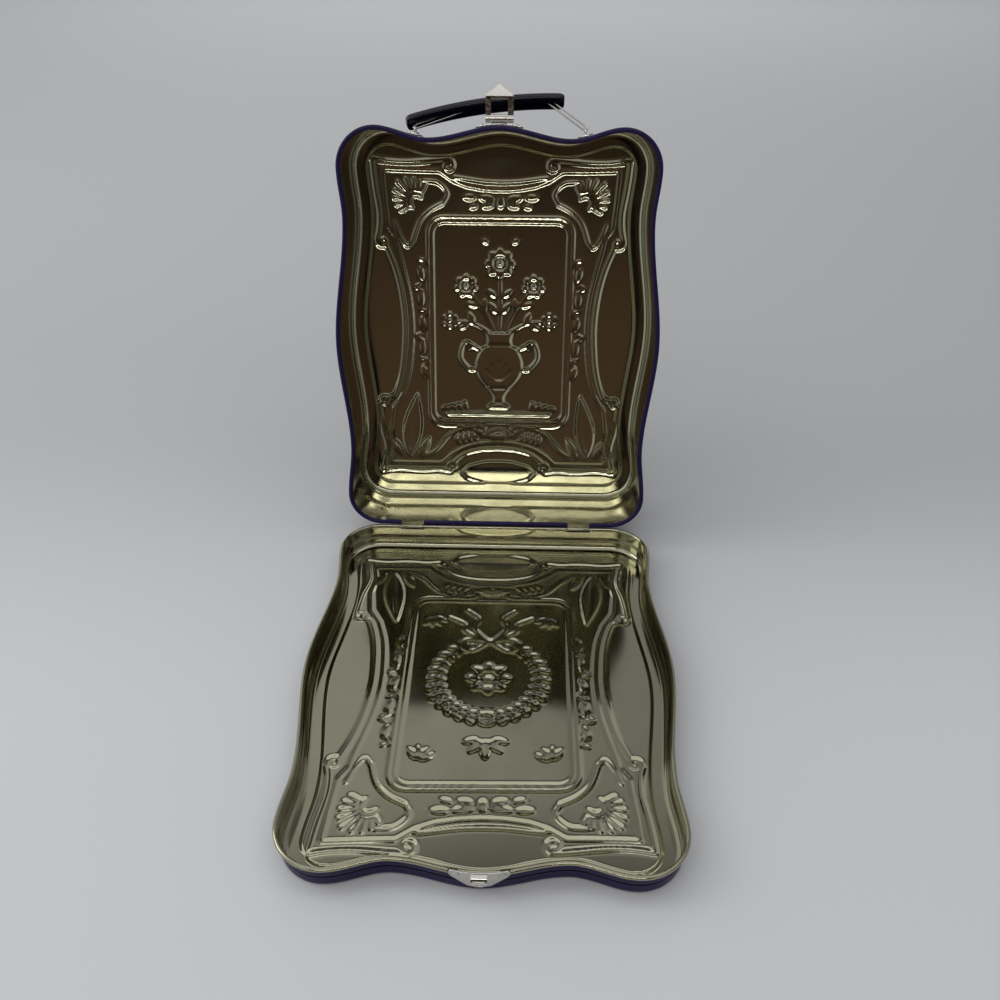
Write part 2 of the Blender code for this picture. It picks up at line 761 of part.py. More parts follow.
def rivet(name, place, parent, u, w, surface, look):
    """A rivet's domed head on a plate whose face stands at the given height over the wall."""
    v, normal = wall_place(u)
    along = Vector((normal.y, -normal.x))
    rings = [(0.0, 1.0), (0.45, 0.94), (1.0, 0.5)]
    sides = 10
    verts, faces = [], []
    for height, radius in rings:
        out = surface + FIT + height * RIVET_HEIGHT
        for k in range(sides):
            angle = 2 * math.pi * k / sides
            across = radius * RIVET_RADIUS * math.cos(angle)
            at = Vector((u, v)) + normal * out + along * across
            verts.append(place(at.x, at.y, w + radius * RIVET_RADIUS * math.sin(angle)))
    for r in range(len(rings) - 1):
        for k in range(sides):
            m = (k + 1) % sides
            faces.append((r * sides + k, r * sides + m, (r + 1) * sides + m, (r + 1) * sides + k))
    faces.append(tuple(range(sides)))
    faces.append(tuple(range(len(rings) * sides - 1, (len(rings) - 1) * sides - 1, -1)))
    return solid(name, verts, faces, look, parent)


def latch_base(look, parent):
    """The latch's riveted plate on the deep shell, its edge rolled into the knuckle."""
    front = BASE_BACK + LATCH_SHEET

    def span(u):
        t = max(0.0, abs(u) - KNUCKLE_WIDTH / 2) / (BASE_WIDTH / 2 - KNUCKLE_WIDTH / 2)
        return BASE_TOP, BASE_TOP + BASE_HEIGHT * (1.0 - BASE_TAPER * t)

    plate = wall_plate(
        "latch_base", parent, shell_point, BASE_WIDTH / 2, BASE_BACK, front, span, look)
    pin = pin_place()
    bore = LATCH_PIN_RADIUS + FIT
    rolled = arc(pin.yz, KNUCKLE_RADIUS, 100.0, 390.0, 14)
    bored = arc(pin.yz, bore, 390.0, 100.0, 10)
    knuckle = prism("knuckle", parent, rolled + bored, -KNUCKLE_WIDTH / 2, KNUCKLE_WIDTH / 2)
    foot = block(
        "knuckle_foot", parent, (-KNUCKLE_WIDTH / 2, KNUCKLE_WIDTH / 2),
        (pin.y + bore + FOOT_CLEAR, pin.y + KNUCKLE_RADIUS + LATCH_SHEET / 2),
        (pin.z - FOOT_BELOW, pin.z + FOOT_ABOVE),
    )
    combine(plate, knuckle, "UNION")
    combine(plate, foot, "UNION")
    return plate


def pin_place():
    """The latch pin's axis in the deep shell's frame."""
    return shell_point(0.0, LENGTH + PIN_OUT, PIN_DEPTH)


def hasp(look, parent):
    """The latch's swinging plate: two arms with eyes on the pin, a lip bar and a pointed finger flange."""
    eye = LATCH_PIN_RADIUS + FIT + LATCH_SHEET / 2
    plate_y = KEEPER_BACK + LATCH_SHEET + FIT + LATCH_SHEET / 2 - PIN_OUT
    leave = math.acos(plate_y / eye) - 2 * math.pi
    centre_line = []
    for i in range(9):
        angle = HASP_EYE_START + (leave - HASP_EYE_START) * i / 8
        centre_line.append(Vector((eye * math.cos(angle), eye * math.sin(angle))))
    centre_line.append(Vector((plate_y, HASP_BAR_AT + HASP_BAR_HEIGHT / 2)))
    inner = KNUCKLE_WIDTH / 2 + FIT
    arm = strip("hasp_plate", parent, centre_line, LATCH_SHEET, inner, HASP_WIDTH / 2, look)
    other = strip("hasp_arm", parent, centre_line, LATCH_SHEET, -HASP_WIDTH / 2, -inner)
    combine(arm, hasp_flange(parent, plate_y), "UNION")
    combine(arm, other, "UNION")
    return arm


def hasp_flange(parent, plate_y):
    """The bar across the arms and the flange bent away from it, its edge an ogee to a point."""
    half = HASP_WIDTH / 2
    lean_y = FLANGE_LENGTH * math.sin(FLANGE_ANGLE)
    lean_z = FLANGE_LENGTH * math.cos(FLANGE_ANGLE)
    bar_middle = HASP_BAR_AT + HASP_BAR_HEIGHT / 2
    bar_top = HASP_BAR_AT + HASP_BAR_HEIGHT
    thin = LATCH_SHEET / 2
    thick = thin + BAR_SWELL
    rows = [
        (half, (plate_y - thin, HASP_BAR_AT), (plate_y + thin, HASP_BAR_AT)),
        (half, (plate_y - thin, bar_middle), (plate_y + thick, bar_middle)),
        (half, (plate_y - thin, bar_top), (plate_y + thin, bar_top)),
    ]
    for i in range(1, 7):
        t = i / 6
        ease = 3 * t * t - 2 * t**3
        wide = half * (1.0 - ease) + FLANGE_POINT_HALF * ease
        y, z = plate_y + lean_y * t, bar_top + lean_z * t
        rows.append((wide, (y - thin, z), (y + thin, z)))
    return ribbon("hasp_flange", parent, rows)


def eye_spot(side):
    """A handle eye's place on the top wall and the height of its centre over the wall."""
    v, _ = wall_place(side * EYE_AT)
    return v, FIT + EYE_PLATE_THICK + EYE_HEIGHT


def handle_eye(side, name, look, parent):
    """A wire eye arched over the handle link, standing on its small plate."""
    v, height = eye_spot(side)
    axis = shell_point(side * EYE_AT, v + height, EYE_DEPTH)
    seat = shell_point(side * EYE_AT, v + FIT, EYE_DEPTH)
    low, high = EYE_DEPTH - EYE_PLATE_LONG / 2, EYE_DEPTH + EYE_PLATE_LONG / 2
    plate = wall_plate(
        name, parent, shell_point, EYE_PLATE_WIDE / 2, FIT, FIT + EYE_PLATE_THICK,
        lambda u: (low, high), look, side * EYE_AT, 4)
    path = [Vector((axis.x, seat.y - EYE_PLATE_THICK / 2, axis.z - EYE_BEND))]
    for y, z in arc(axis.yz, EYE_BEND, 270.0, 90.0, 8):
        path.append(Vector((axis.x, y, z)))
    path.append(Vector((axis.x, seat.y - EYE_PLATE_THICK / 2, axis.z + EYE_BEND)))
    combine(plate, tube(f"{name}_arch", parent, path, EYE_WIRE, 8), "UNION")
    return plate


def grip_arc(t, lift=0.0):
    """A point of the grip's arched centre line, t from 0 at its left end to 1, in side and height."""
    span = GRIP_LENGTH / GRIP_ARC_RADIUS
    angle = span * (0.5 - t) + GRIP_TILT
    centre = grip_centre()
    reach = GRIP_ARC_RADIUS + lift
    return centre + Vector((-math.sin(angle), math.cos(angle))) * reach


def grip_centre():
    """The centre that the grip's arch is struck from, in side and height."""
    span = GRIP_LENGTH / GRIP_ARC_RADIUS
    first = span / 2 + GRIP_TILT
    left = Vector((GRIP_LEFT_SIDE, GRIP_LEFT_HEIGHT))
    return left - Vector((-math.sin(first), math.cos(first))) * GRIP_ARC_RADIUS


def grip_loft(name, parent, rows, section, look=None):
    """A bar along the grip's arch: rows of places from 0 to 1 with the section's scale there."""
    verts, faces = [], []
    size = len(section)
    for t, scale in rows:
        for across, lift in section:
            at = grip_arc(t, lift * scale)
            verts.append(Vector((at.x, across * scale, at.y)))
    for i in range(len(rows) - 1):
        for k in range(size):
            m = (k + 1) % size
            faces.append((i * size + k, i * size + m, (i + 1) * size + m, (i + 1) * size + k))
    faces.append(tuple(range(size)))
    faces.append(tuple(range(len(rows) * size - 1, (len(rows) - 1) * size - 1, -1)))
    return solid(name, verts, faces, look, parent)


def grip_rows():
    """The grip's places along its arch, with its ends rounded off."""
    ends = [(reach * mm / GRIP_LENGTH, scale) for reach, scale in GRIP_END_SHAPE]
    last = ends[-1][0]
    middle = [(last + (1.0 - 2 * last) * i / 8, 1.0) for i in range(1, 8)]
    return ends + middle + [(1.0 - t, scale) for t, scale in reversed(ends)]


def grip_section():
    """The grip's cross-section: rounded on top, flatter below."""
    half = GRIP_WIDTH / 2
    top = GRIP_THICK / 2
    section = []
    for i in range(9):
        angle = math.pi * i / 8
        section.append((half * math.cos(angle), top * math.sin(angle)))
    for across, lift in ((-0.86, -0.8), (-0.6, -1.0), (0.6, -1.0), (0.86, -0.8)):
        section.append((half * across, top * lift))
    return section


def pin_lift():
    """Height of the link pins over the grip's centre line."""
    return GRIP_LIP + LINK_WIRE + SLOT_PLAY - GRIP_THICK / 2


def grip(look, parent):
    """The moulded grip: an arched bar with a cross-shaped slot near each end for the link pins.

    A narrower mouth runs from each slot out through the end, for the links to lie in.
    """
    bar = grip_loft("grip", parent, grip_rows(), grip_section(), look)
    below = -GRIP_THICK / 2 - OVERCUT
    lip = GRIP_LIP - GRIP_THICK / 2
    ceiling = lip + 2 * (LINK_WIRE + SLOT_PLAY)
    neck = LINK_WIRE + 2 * FIT
    room = LINK_PIN_LENGTH / 2 + SLOT_PLAY
    roof = pin_lift() + LINK_SPREAD / 2 + LINK_WIRE + FIT
    slot = [(neck, below), (neck, lip), (room, lip), (room, ceiling), (neck, ceiling), (neck, roof)]
    slot += [(-across, lift) for across, lift in reversed(slot)]
    inner_end = PIN_NEAR_END + SLOT_TRAVEL + LINK_SPREAD / 2 + LINK_WIRE + SLOT_PLAY
    start, end = GRIP_END_WALL / GRIP_LENGTH, inner_end / GRIP_LENGTH
    mouth = [(neck, below), (neck, ceiling), (-neck, ceiling), (-neck, below)]
    near = [(start + (end - start) * i / 4, 1.0) for i in range(5)]
    outside = [(-OVERCUT / GRIP_LENGTH, 1.0), (near[1][0], 1.0)]
    for name, section, rows in (("slot", slot, near), ("mouth", mouth, outside)):
        far = [(1.0 - t, scale) for t, scale in reversed(rows)]
        combine(bar, grip_loft(f"{name}_left", parent, rows, section), "DIFFERENCE")
        combine(bar, grip_loft(f"{name}_right", parent, far, section), "DIFFERENCE")
    return bar


def pin_spot(side):
    """Where a link pin rides in the grip with the grip slid fully to the left."""
    from_left = PIN_NEAR_END + SLOT_TRAVEL if side < 0 else GRIP_LENGTH - PIN_FAR_END
    return grip_arc(from_left / GRIP_LENGTH, pin_lift())


def link(side, name, look, parent):
    """A long wire loop: one bend hooks the eye on the shell, the other the pin in the grip."""
    head = pin_spot(side)
    foot = Vector((side * EYE_AT, EYE_BEND))
    direction = (head - foot).normalized()
    across = Vector((-direction.y, direction.x))
    half = LINK_SPREAD / 2
    path = []
    for centre, start in ((foot, math.pi), (head, 0.0)):
        for i in range(7):
            angle = start + math.pi * i / 6
            at = centre + across * half * math.cos(angle) + direction * half * math.sin(angle)
            path.append(Vector((at.x, 0.0, at.y)))
    return tube(name, parent, path, LINK_WIRE, 8, look, closed=True)


def link_pin(side, name, look, parent):
    """The cross pin that a link hangs on inside the grip."""
    head = pin_spot(side)
    half = Vector((0.0, LINK_PIN_LENGTH / 2, 0.0))
    middle = Vector((head.x, 0.0, head.y))
    return tube(name, parent, [middle - half, middle + half], LINK_WIRE, 10, look)


def shell_tilt():
    """How far past upright the deep shell leans before its lower back fold meets the floor."""
    fold_y = AXIS_OUT + FOLD_RADIUS
    fold_z = SHELL_DEPTH - FOLD_RADIUS - RIM_BELOW_AXIS
    drop = LID_DEPTH - CURL_RADIUS - FOLD_RADIUS - FLOOR_GAP
    return math.atan2(fold_y, fold_z) + math.asin(drop / math.hypot(fold_y, fold_z))


def bounds_of(objects):
    """Lowest and highest corners of the visible pieces as they stand."""
    depsgraph = bpy.context.evaluated_depsgraph_get()
    low, high = Vector((1e9,) * 3), Vector((-1e9,) * 3)
    for item in objects:
        shape = item.evaluated_get(depsgraph)
        for vertex in shape.data.vertices:
            at = shape.matrix_world @ vertex.co
            low = Vector(map(min, low, at))
            high = Vector(map(max, high, at))
    return low, high


def main():
    """Builds both halves, the latch and the handle, and centres the whole over the origin."""
    for item in list(bpy.data.objects):
        bpy.data.objects.remove(item, do_unlink=True)

    printed = material("printed_tinplate", (0.13, 0.10, 0.28), 0.3, 0.1)
    bare = material("lacquered_tinplate", (0.55, 0.54, 0.42), 0.28, 1.0)
    plated = material("nickel_plated_steel", (0.72, 0.72, 0.70), 0.18, 1.0)
    moulded = material("moulded_plastic", (0.05, 0.04, 0.09), 0.2, 0.0)

    root = empty("hinge_line", (0.0, 0.0, LID_DEPTH - CURL_RADIUS))
    open_turn = math.pi / 2 + shell_tilt()
    shell = empty("shell_hinge", (0.0, 0.0, 0.0), -open_turn, root)
    hasp_axis = empty("hasp_hinge", pin_place(), math.pi / 2, shell)
    v, height = eye_spot(1)
    handle_axis = empty(
        "handle_swing", shell_point(0.0, v + height, EYE_DEPTH), math.pi / 2 - HANDLE_LEAN, shell)

    face_panel("lid_panel", LID_DEPTH, LID_WALL_OUTSIDE, wreath(), lid_point, bare, root)
    lid_band(printed, root)
    keeper(plated, root)
    reach = TAB_AT + TAB_WIDTH / 2 + WIRE_OVERRUN
    wire = [Vector((-reach, 0.0, 0.0)), Vector((reach, 0.0, 0.0))]
    tube("hinge_wire", root, wire, HINGE_WIRE_RADIUS, 10, plated)

    face_panel("deep_panel", SHELL_DEPTH, 0.0, vase(), shell_point, bare, shell)
    deep_band(printed, shell)
    latch_base(plated, shell)
    for side, word in SIDES:
        rivet(f"latch_rivet_{word}", shell_point, shell, side * LATCH_RIVET_AT, LATCH_RIVET_DEPTH,
              BASE_BACK + LATCH_SHEET, plated)
    axle = pin_place()
    half = HASP_WIDTH / 2
    tube("latch_pin", shell, [axle - Vector((half, 0, 0)), axle + Vector((half, 0, 0))],
         LATCH_PIN_RADIUS, 10, plated)
    for side, word in SIDES:
        handle_eye(side, f"handle_eye_{word}", plated, shell)
        for end, place in ((-1, "front"), (1, "back")):
            depth = EYE_DEPTH + end * (EYE_PLATE_LONG / 2 - RIVET_RADIUS - EYE_RIVET_EDGE)
            rivet(f"eye_rivet_{word}_{place}", shell_point, shell, side * EYE_AT, depth,
                  FIT + EYE_PLATE_THICK, plated)

    hasp(plated, hasp_axis)
    for side, word in SIDES:
        link(side, f"wire_link_{word}", plated, handle_axis)
        link_pin(side, f"link_pin_{word}", plated, handle_axis)
    grip(moulded, handle_axis)

    bpy.context.view_layer.update()
    pieces = [o for o in bpy.data.objects if o.type == "MESH" and not o.hide_render]
    low, high = bounds_of(pieces)
    root.location.y = -(low.y + high.y) / 2
    bpy.context.view_layer.update()


main()
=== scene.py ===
"""The looks of an open tin lunch box: embossed tinplate halves, latch and wire-hung grip.

Outline coordinates are those of the solids: u sideways, v from the hinge edge to the latch crest,
o outward from the wall and w the depth behind a rim. Sizes are written in millimetres.
"""
import json
import logging
import math
from dataclasses import dataclass, field
from enum import Enum
from typing import Callable, Sequence

import bmesh
import bpy
import numpy as np
from mathutils import Matrix, Vector


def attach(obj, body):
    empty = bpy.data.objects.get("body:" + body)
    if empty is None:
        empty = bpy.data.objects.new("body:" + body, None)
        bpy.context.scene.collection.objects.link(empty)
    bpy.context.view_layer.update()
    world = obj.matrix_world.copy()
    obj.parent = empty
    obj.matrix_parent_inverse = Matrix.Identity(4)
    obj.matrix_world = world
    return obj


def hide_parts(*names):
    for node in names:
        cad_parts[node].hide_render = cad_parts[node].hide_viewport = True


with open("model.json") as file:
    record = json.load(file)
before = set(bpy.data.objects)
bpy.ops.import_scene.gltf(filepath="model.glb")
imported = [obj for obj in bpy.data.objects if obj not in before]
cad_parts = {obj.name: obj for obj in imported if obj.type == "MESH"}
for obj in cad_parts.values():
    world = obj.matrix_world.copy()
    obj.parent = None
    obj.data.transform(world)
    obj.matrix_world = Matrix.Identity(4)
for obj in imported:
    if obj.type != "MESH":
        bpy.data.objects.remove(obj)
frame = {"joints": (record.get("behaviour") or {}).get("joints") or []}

MM = 0.001
Points = np.ndarray
Place = Callable[[Points, Points, Points], Points]
Piece = bpy.types.Object
Finish = bpy.types.Material
NodeTree = bpy.types.NodeTree
Socket = bpy.types.NodeSocket
Pair = tuple[float, float]
Triple = tuple[float, float, float]
Colour = tuple[float, float, float, float]
LOG = logging.getLogger("lunch_box")


def linear(hex_colour: str) -> Colour:
    """Turns an sRGB hex colour to linear light.

    Args:
        hex_colour: Six hex digits after a hash.

    Returns:
        Linear red, green and blue, and full opacity.
    """
    parts = [int(hex_colour[i:i + 2], 16) / 255 for i in (1, 3, 5)]
    # The curve of the sRGB standard
    made = [c / 12.92 if c <= 0.04045 else ((c + 0.055) / 1.055) ** 2.4 for c in parts]
    return made[0], made[1], made[2], 1.0


def node(tree: NodeTree, kind: str, inputs: dict | None = None, **settings) -> bpy.types.Node:
    """Adds a node with its settings, values and links.

    Args:
        tree: The tree that the node joins.
        kind: The node's type name.
        inputs: Input name or number to a value or to an output socket.
        **settings: Properties of the node.

    Returns:
        The new node.
    """
    made = tree.nodes.new(kind)
    for name, value in settings.items():
        setattr(made, name, value)
    for key, value in (inputs or {}).items():
        if isinstance(value, Socket):
            tree.links.new(value, made.inputs[key])
        else:
            made.inputs[key].default_value = value
    return made


def placed(name: str, data: bpy.types.ID) -> Piece:
    """Makes an object of a mesh, lamp or camera and links it to the scene."""
    made = bpy.data.objects.new(name, data)
    bpy.context.scene.collection.objects.link(made)
    return made


def blank_material(name: str) -> tuple[Finish, NodeTree, bpy.types.Node, Socket]:
    """Starts a material.

    Args:
        name: Its name.

    Returns:
        The material, its node tree, its shader and the socket of Object coordinates.
    """
    made = bpy.data.materials.new(name)
    made.use_nodes = True
    tree = made.node_tree
    return made, tree, tree.nodes["Principled BSDF"], node(tree, "ShaderNodeTexCoord").outputs["Object"]


def set_shader(shader: bpy.types.Node, values: dict[str, float | Colour]) -> None:
    """Sets plain values on a shader's own sockets."""
    for socket, value in values.items():
        shader.inputs[socket].default_value = value


def unit(angle: float | Points) -> Points:
    """A unit step sideways and along at an angle in radians, or one at each of several."""
    return np.stack([np.cos(angle), np.sin(angle)], axis=-1)


def joint_spot(name: str) -> Triple:
    """Where a joint's axis passes in the frame, in millimetres."""
    spot = next(j["pos_m"] for j in frame["joints"] if j["name"] == name)
    return spot[0] / MM, spot[1] / MM, spot[2] / MM


def shade(mesh: bpy.types.Mesh, sharp: float) -> None:
    """Shades a mesh smooth, but for edges past an angle in degrees."""
    mesh.shade_smooth()
    mesh.set_sharp_from_angle(angle=math.radians(sharp))


def tube_faces(rings: int, size: int) -> list[tuple[int, ...]]:
    """Faces that join rings of equal size, one after another, and close both ends.

    Args:
        rings: How many rings there are.
        size: How many points each has.

    Returns:
        The numbers of each face's corners.
    """
    faces = []
    for first in range(0, (rings - 1) * size, size):
        for k in range(size):
            m = (k + 1) % size
            faces.append((first + k, first + m, first + size + m, first + size + k))
    return faces + [tuple(range(size)), tuple(range((rings - 1) * size, rings * size))]


def axis_frame(joint: str, degrees: float) -> Matrix:
    """A frame of its own for a moving part, in metres.

    Args:
        joint: The joint whose axis it sits on.
        degrees: Its turn about the sideways axis.

    Returns:
        The matrix from that frame to the shared one.
    """
    turn = Matrix.Rotation(math.radians(degrees), 4, "X")
    return Matrix.Translation(Vector(joint_spot(joint)) * MM) @ turn


class Skin(Enum):
    """Which finish a face of a tinplate piece has."""

    LACQUER = 0
    PRINT = 1


SectionRow = tuple[float, float, Skin]


@dataclass(frozen=True)
class GoldLacqueredTinplate:
    """Rolled tinplate under clear gold lacquer: a soft mirror with a faint grain and a straw tint."""

    name: str = "gold_lacquered_tinplate"
    tint: str = "#adab97"
    deep_tint: str = "#9e9b80"
    roughness: float = 0.1
    grain_mm: float = 0.35
    grain_stretch: float = 0.12
    grain_depth_mm: float = 0.02
    cloud_mm: float = 38.0

    def build(self) -> Finish:
        """Makes the material."""
        made, tree, shader, place = blank_material(self.name)
        # Rolling grain is drawn coarser than the real 0.1 mm so that it shows at all
        stretched = node(tree, "ShaderNodeMapping", {
            "Vector": place, "Scale": (1.0, self.grain_stretch, self.grain_stretch)})
        grain = node(tree, "ShaderNodeTexNoise", {
            "Vector": stretched.outputs[0], "Scale": 1.0 / (self.grain_mm * MM), "Detail": 2.0})
        clouds = node(tree, "ShaderNodeTexNoise", {
            "Vector": place, "Scale": 1.0 / (self.cloud_mm * MM), "Detail": 3.0, "Roughness": 0.6})
        tone = node(tree, "ShaderNodeMix", {
            "Factor": clouds.outputs["Fac"], "A": linear(self.tint), "B": linear(self.deep_tint)},
            data_type="RGBA")
        tree.links.new(tone.outputs["Result"], shader.inputs["Base Color"])
        rough = node(tree, "ShaderNodeMapRange", {
            "Value": clouds.outputs["Fac"], "From Min": 0.3, "From Max": 0.7,
            "To Min": self.roughness - 0.03, "To Max": self.roughness + 0.05})
        tree.links.new(rough.outputs["Result"], shader.inputs["Roughness"])
        bump = node(tree, "ShaderNodeBump", {
            "Height": grain.outputs["Fac"], "Strength": 0.05, "Distance": self.grain_depth_mm * MM})
        tree.links.new(bump.outputs[0], shader.inputs["Normal"])
        set_shader(shader, {"Metallic": 1.0})
        return made


@dataclass(frozen=True)
class PrintedTinplate:
    """Tinplate printed dark violet and varnished: a soft satin sheen, its raised lines in old gold."""

    name: str = "printed_varnished_tinplate"
    ground: str = "#1f1147"
    shade: str = "#160b33"
    line: str = "#8a7440"
    roughness: float = 0.34
    shine: float = 0.15
    varnish: float = 0.15
    varnish_roughness: float = 0.08
    cloud_mm: float = 24.0
    peel_mm: float = 1.6
    peel_depth_mm: float = 0.05

    def build(self) -> Finish:
        """Makes the material."""
        made, tree, shader, place = blank_material(self.name)
        clouds = node(tree, "ShaderNodeTexNoise", {
            "Vector": place, "Scale": 1.0 / (self.cloud_mm * MM), "Detail": 4.0})
        ground = node(tree, "ShaderNodeMix", {
            "Factor": clouds.outputs["Fac"], "A": linear(self.ground), "B": linear(self.shade)},
            data_type="RGBA")
        # Ink gives way to gold on the crowns, from just under half of the relief's height
        relief = node(tree, "ShaderNodeAttribute", attribute_name="relief")
        crown = node(tree, "ShaderNodeMapRange", {
            "Value": relief.outputs["Fac"], "From Min": 0.45, "From Max": 0.75})
        tone = node(tree, "ShaderNodeMix", {
            "Factor": crown.outputs["Result"], "A": ground.outputs["Result"], "B": linear(self.line)},
            data_type="RGBA")
        tree.links.new(tone.outputs["Result"], shader.inputs["Base Color"])
        peel = node(tree, "ShaderNodeTexNoise", {
            "Vector": place, "Scale": 1.0 / (self.peel_mm * MM), "Detail": 1.0})
        bump = node(tree, "ShaderNodeBump", {
            "Height": peel.outputs["Fac"], "Strength": 0.04, "Distance": self.peel_depth_mm * MM})
        tree.links.new(bump.outputs[0], shader.inputs["Normal"])
        set_shader(shader, {
            "Roughness": self.roughness, "Specular IOR Level": self.shine,
            "Coat Weight": self.varnish, "Coat Roughness": self.varnish_roughness})
        return made


@dataclass(frozen=True)
class NickelPlate:
    """Bright nickel on stamped steel: nearly a mirror, a little warm, with fine handling marks."""

    name: str = "bright_nickel_plate"
    tint: str = "#c9c7c0"
    roughness: float = 0.1
    mark_mm: float = 1.2

    def build(self) -> Finish:
        """Makes the material."""
        made, tree, shader, place = blank_material(self.name)
        marks = node(tree, "ShaderNodeTexNoise", {
            "Vector": place, "Scale": 1.0 / (self.mark_mm * MM), "Detail": 4.0})
        rough = node(tree, "ShaderNodeMapRange", {
            "Value": marks.outputs["Fac"], "From Min": 0.35, "From Max": 0.7,
            "To Min": self.roughness - 0.05, "To Max": self.roughness + 0.1})
        tree.links.new(rough.outputs["Result"], shader.inputs["Roughness"])
        set_shader(shader, {"Base Color": linear(self.tint), "Metallic": 1.0})
        return made


@dataclass(frozen=True)
class MouldedPolystyrene:
    """Injection-moulded polystyrene in near-black plum: a hard gloss with a faint flow ripple."""

    name: str = "moulded_plum_polystyrene"
    tint: str = "#0d0a17"
    roughness: float = 0.13
    shine: float = 0.3
    polish: float = 0.2
    polish_roughness: float = 0.05
    ripple_mm: float = 3.0
    ripple_depth_mm: float = 0.1

    def build(self) -> Finish:
        """Makes the material."""
        made, tree, shader, place = blank_material(self.name)
        ripple = node(tree, "ShaderNodeTexNoise", {
            "Vector": place, "Scale": 1.0 / (self.ripple_mm * MM), "Detail": 2.0})
        bump = node(tree, "ShaderNodeBump", {
            "Height": ripple.outputs["Fac"], "Strength": 0.05, "Distance": self.ripple_depth_mm * MM})
        tree.links.new(bump.outputs[0], shader.inputs["Normal"])
        marks = node(tree, "ShaderNodeMapRange", {
            "Value": ripple.outputs["Fac"],
            "To Min": self.roughness - 0.04, "To Max": self.roughness + 0.06})
        tree.links.new(marks.outputs["Result"], shader.inputs["Roughness"])
        set_shader(shader, {
            "Base Color": linear(self.tint), "Specular IOR Level": self.shine,
            "Coat Weight": self.polish, "Coat Roughness": self.polish_roughness})
        return made


@dataclass
class Finishes:
    """The materials that the whole box shares."""

    lacquer: Finish = field(default_factory=lambda: GoldLacqueredTinplate().build())
    print_: Finish = field(default_factory=lambda: PrintedTinplate().build())
    nickel: Finish = field(default_factory=lambda: NickelPlate().build())
    plastic: Finish = field(default_factory=lambda: MouldedPolystyrene().build())

    def tinplate(self) -> list[Finish]:
        """The slots of a tinplate piece, in the order of Skin."""
        return [self.lacquer, self.print_]


@dataclass(frozen=True)
class CaseSizes:
    """Sizes that both halves share, in millimetres, as the solids have them."""

    length: float = 224.4
    sheet: float = 0.4
    fold: float = 3.0
    seam_depth: float = 7.0
    seam_lap: float = 3.6
    step: float = 0.7
    ring: float = 5.0
    ring_slope: float = 1.3
    recess: float = 1.0
    axis_y: float = field(default_factory=lambda: joint_spot("shell_hinge")[1])
    axis_z: float = field(default_factory=lambda: joint_spot("shell_hinge")[2])
    axis_out: float = 1.45
    rim_below: float = 0.9
    curl: float = 1.1
    open_degrees: float = 107.01755
    tab_at: float = 50.0
    tab_width: float = 12.9
    # How far a cutter reaches past what it cuts
    clear: float = 1.0

    def lid_frame(self) -> Matrix:
        """The lid's own frame, its origin on the hinge axis."""
        return axis_frame("shell_hinge", 0.0)

    def shell_frame(self) -> Matrix:
        """The deep shell's own frame, its origin on the hinge axis."""
        return axis_frame("shell_hinge", -self.open_degrees)

    def lid_place(self, u: Points, v: Points, w: Points) -> Points:
        """Places the lid's outline coordinates in the frame.

        Args:
            u: Places sideways.
            v: Places from the hinge edge to the latch.
            w: Depths behind the rim.

        Returns:
            Points in the shared frame, in metres.
        """
        y = self.axis_y - (v + self.axis_out)
        z = self.axis_z + self.curl - w
        return np.stack([u, y, z], axis=-1) * MM

    def shell_place(self, u: Points, v: Points, w: Points) -> Points:
        """Places the standing shell's outline coordinates in the frame.

        Args:
            u: Places sideways.
            v: Places from the hinge edge to the latch.
            w: Depths behind the rim.

        Returns:
            Points in the shared frame, in metres.
        """
        turn = math.radians(self.open_degrees)
        y = self.axis_y - (v + self.axis_out) * math.cos(turn) + (w - self.rim_below) * math.sin(turn)
        z = self.axis_z + (v + self.axis_out) * math.sin(turn) + (w - self.rim_below) * math.cos(turn)
        return np.stack([u, y, z], axis=-1) * MM


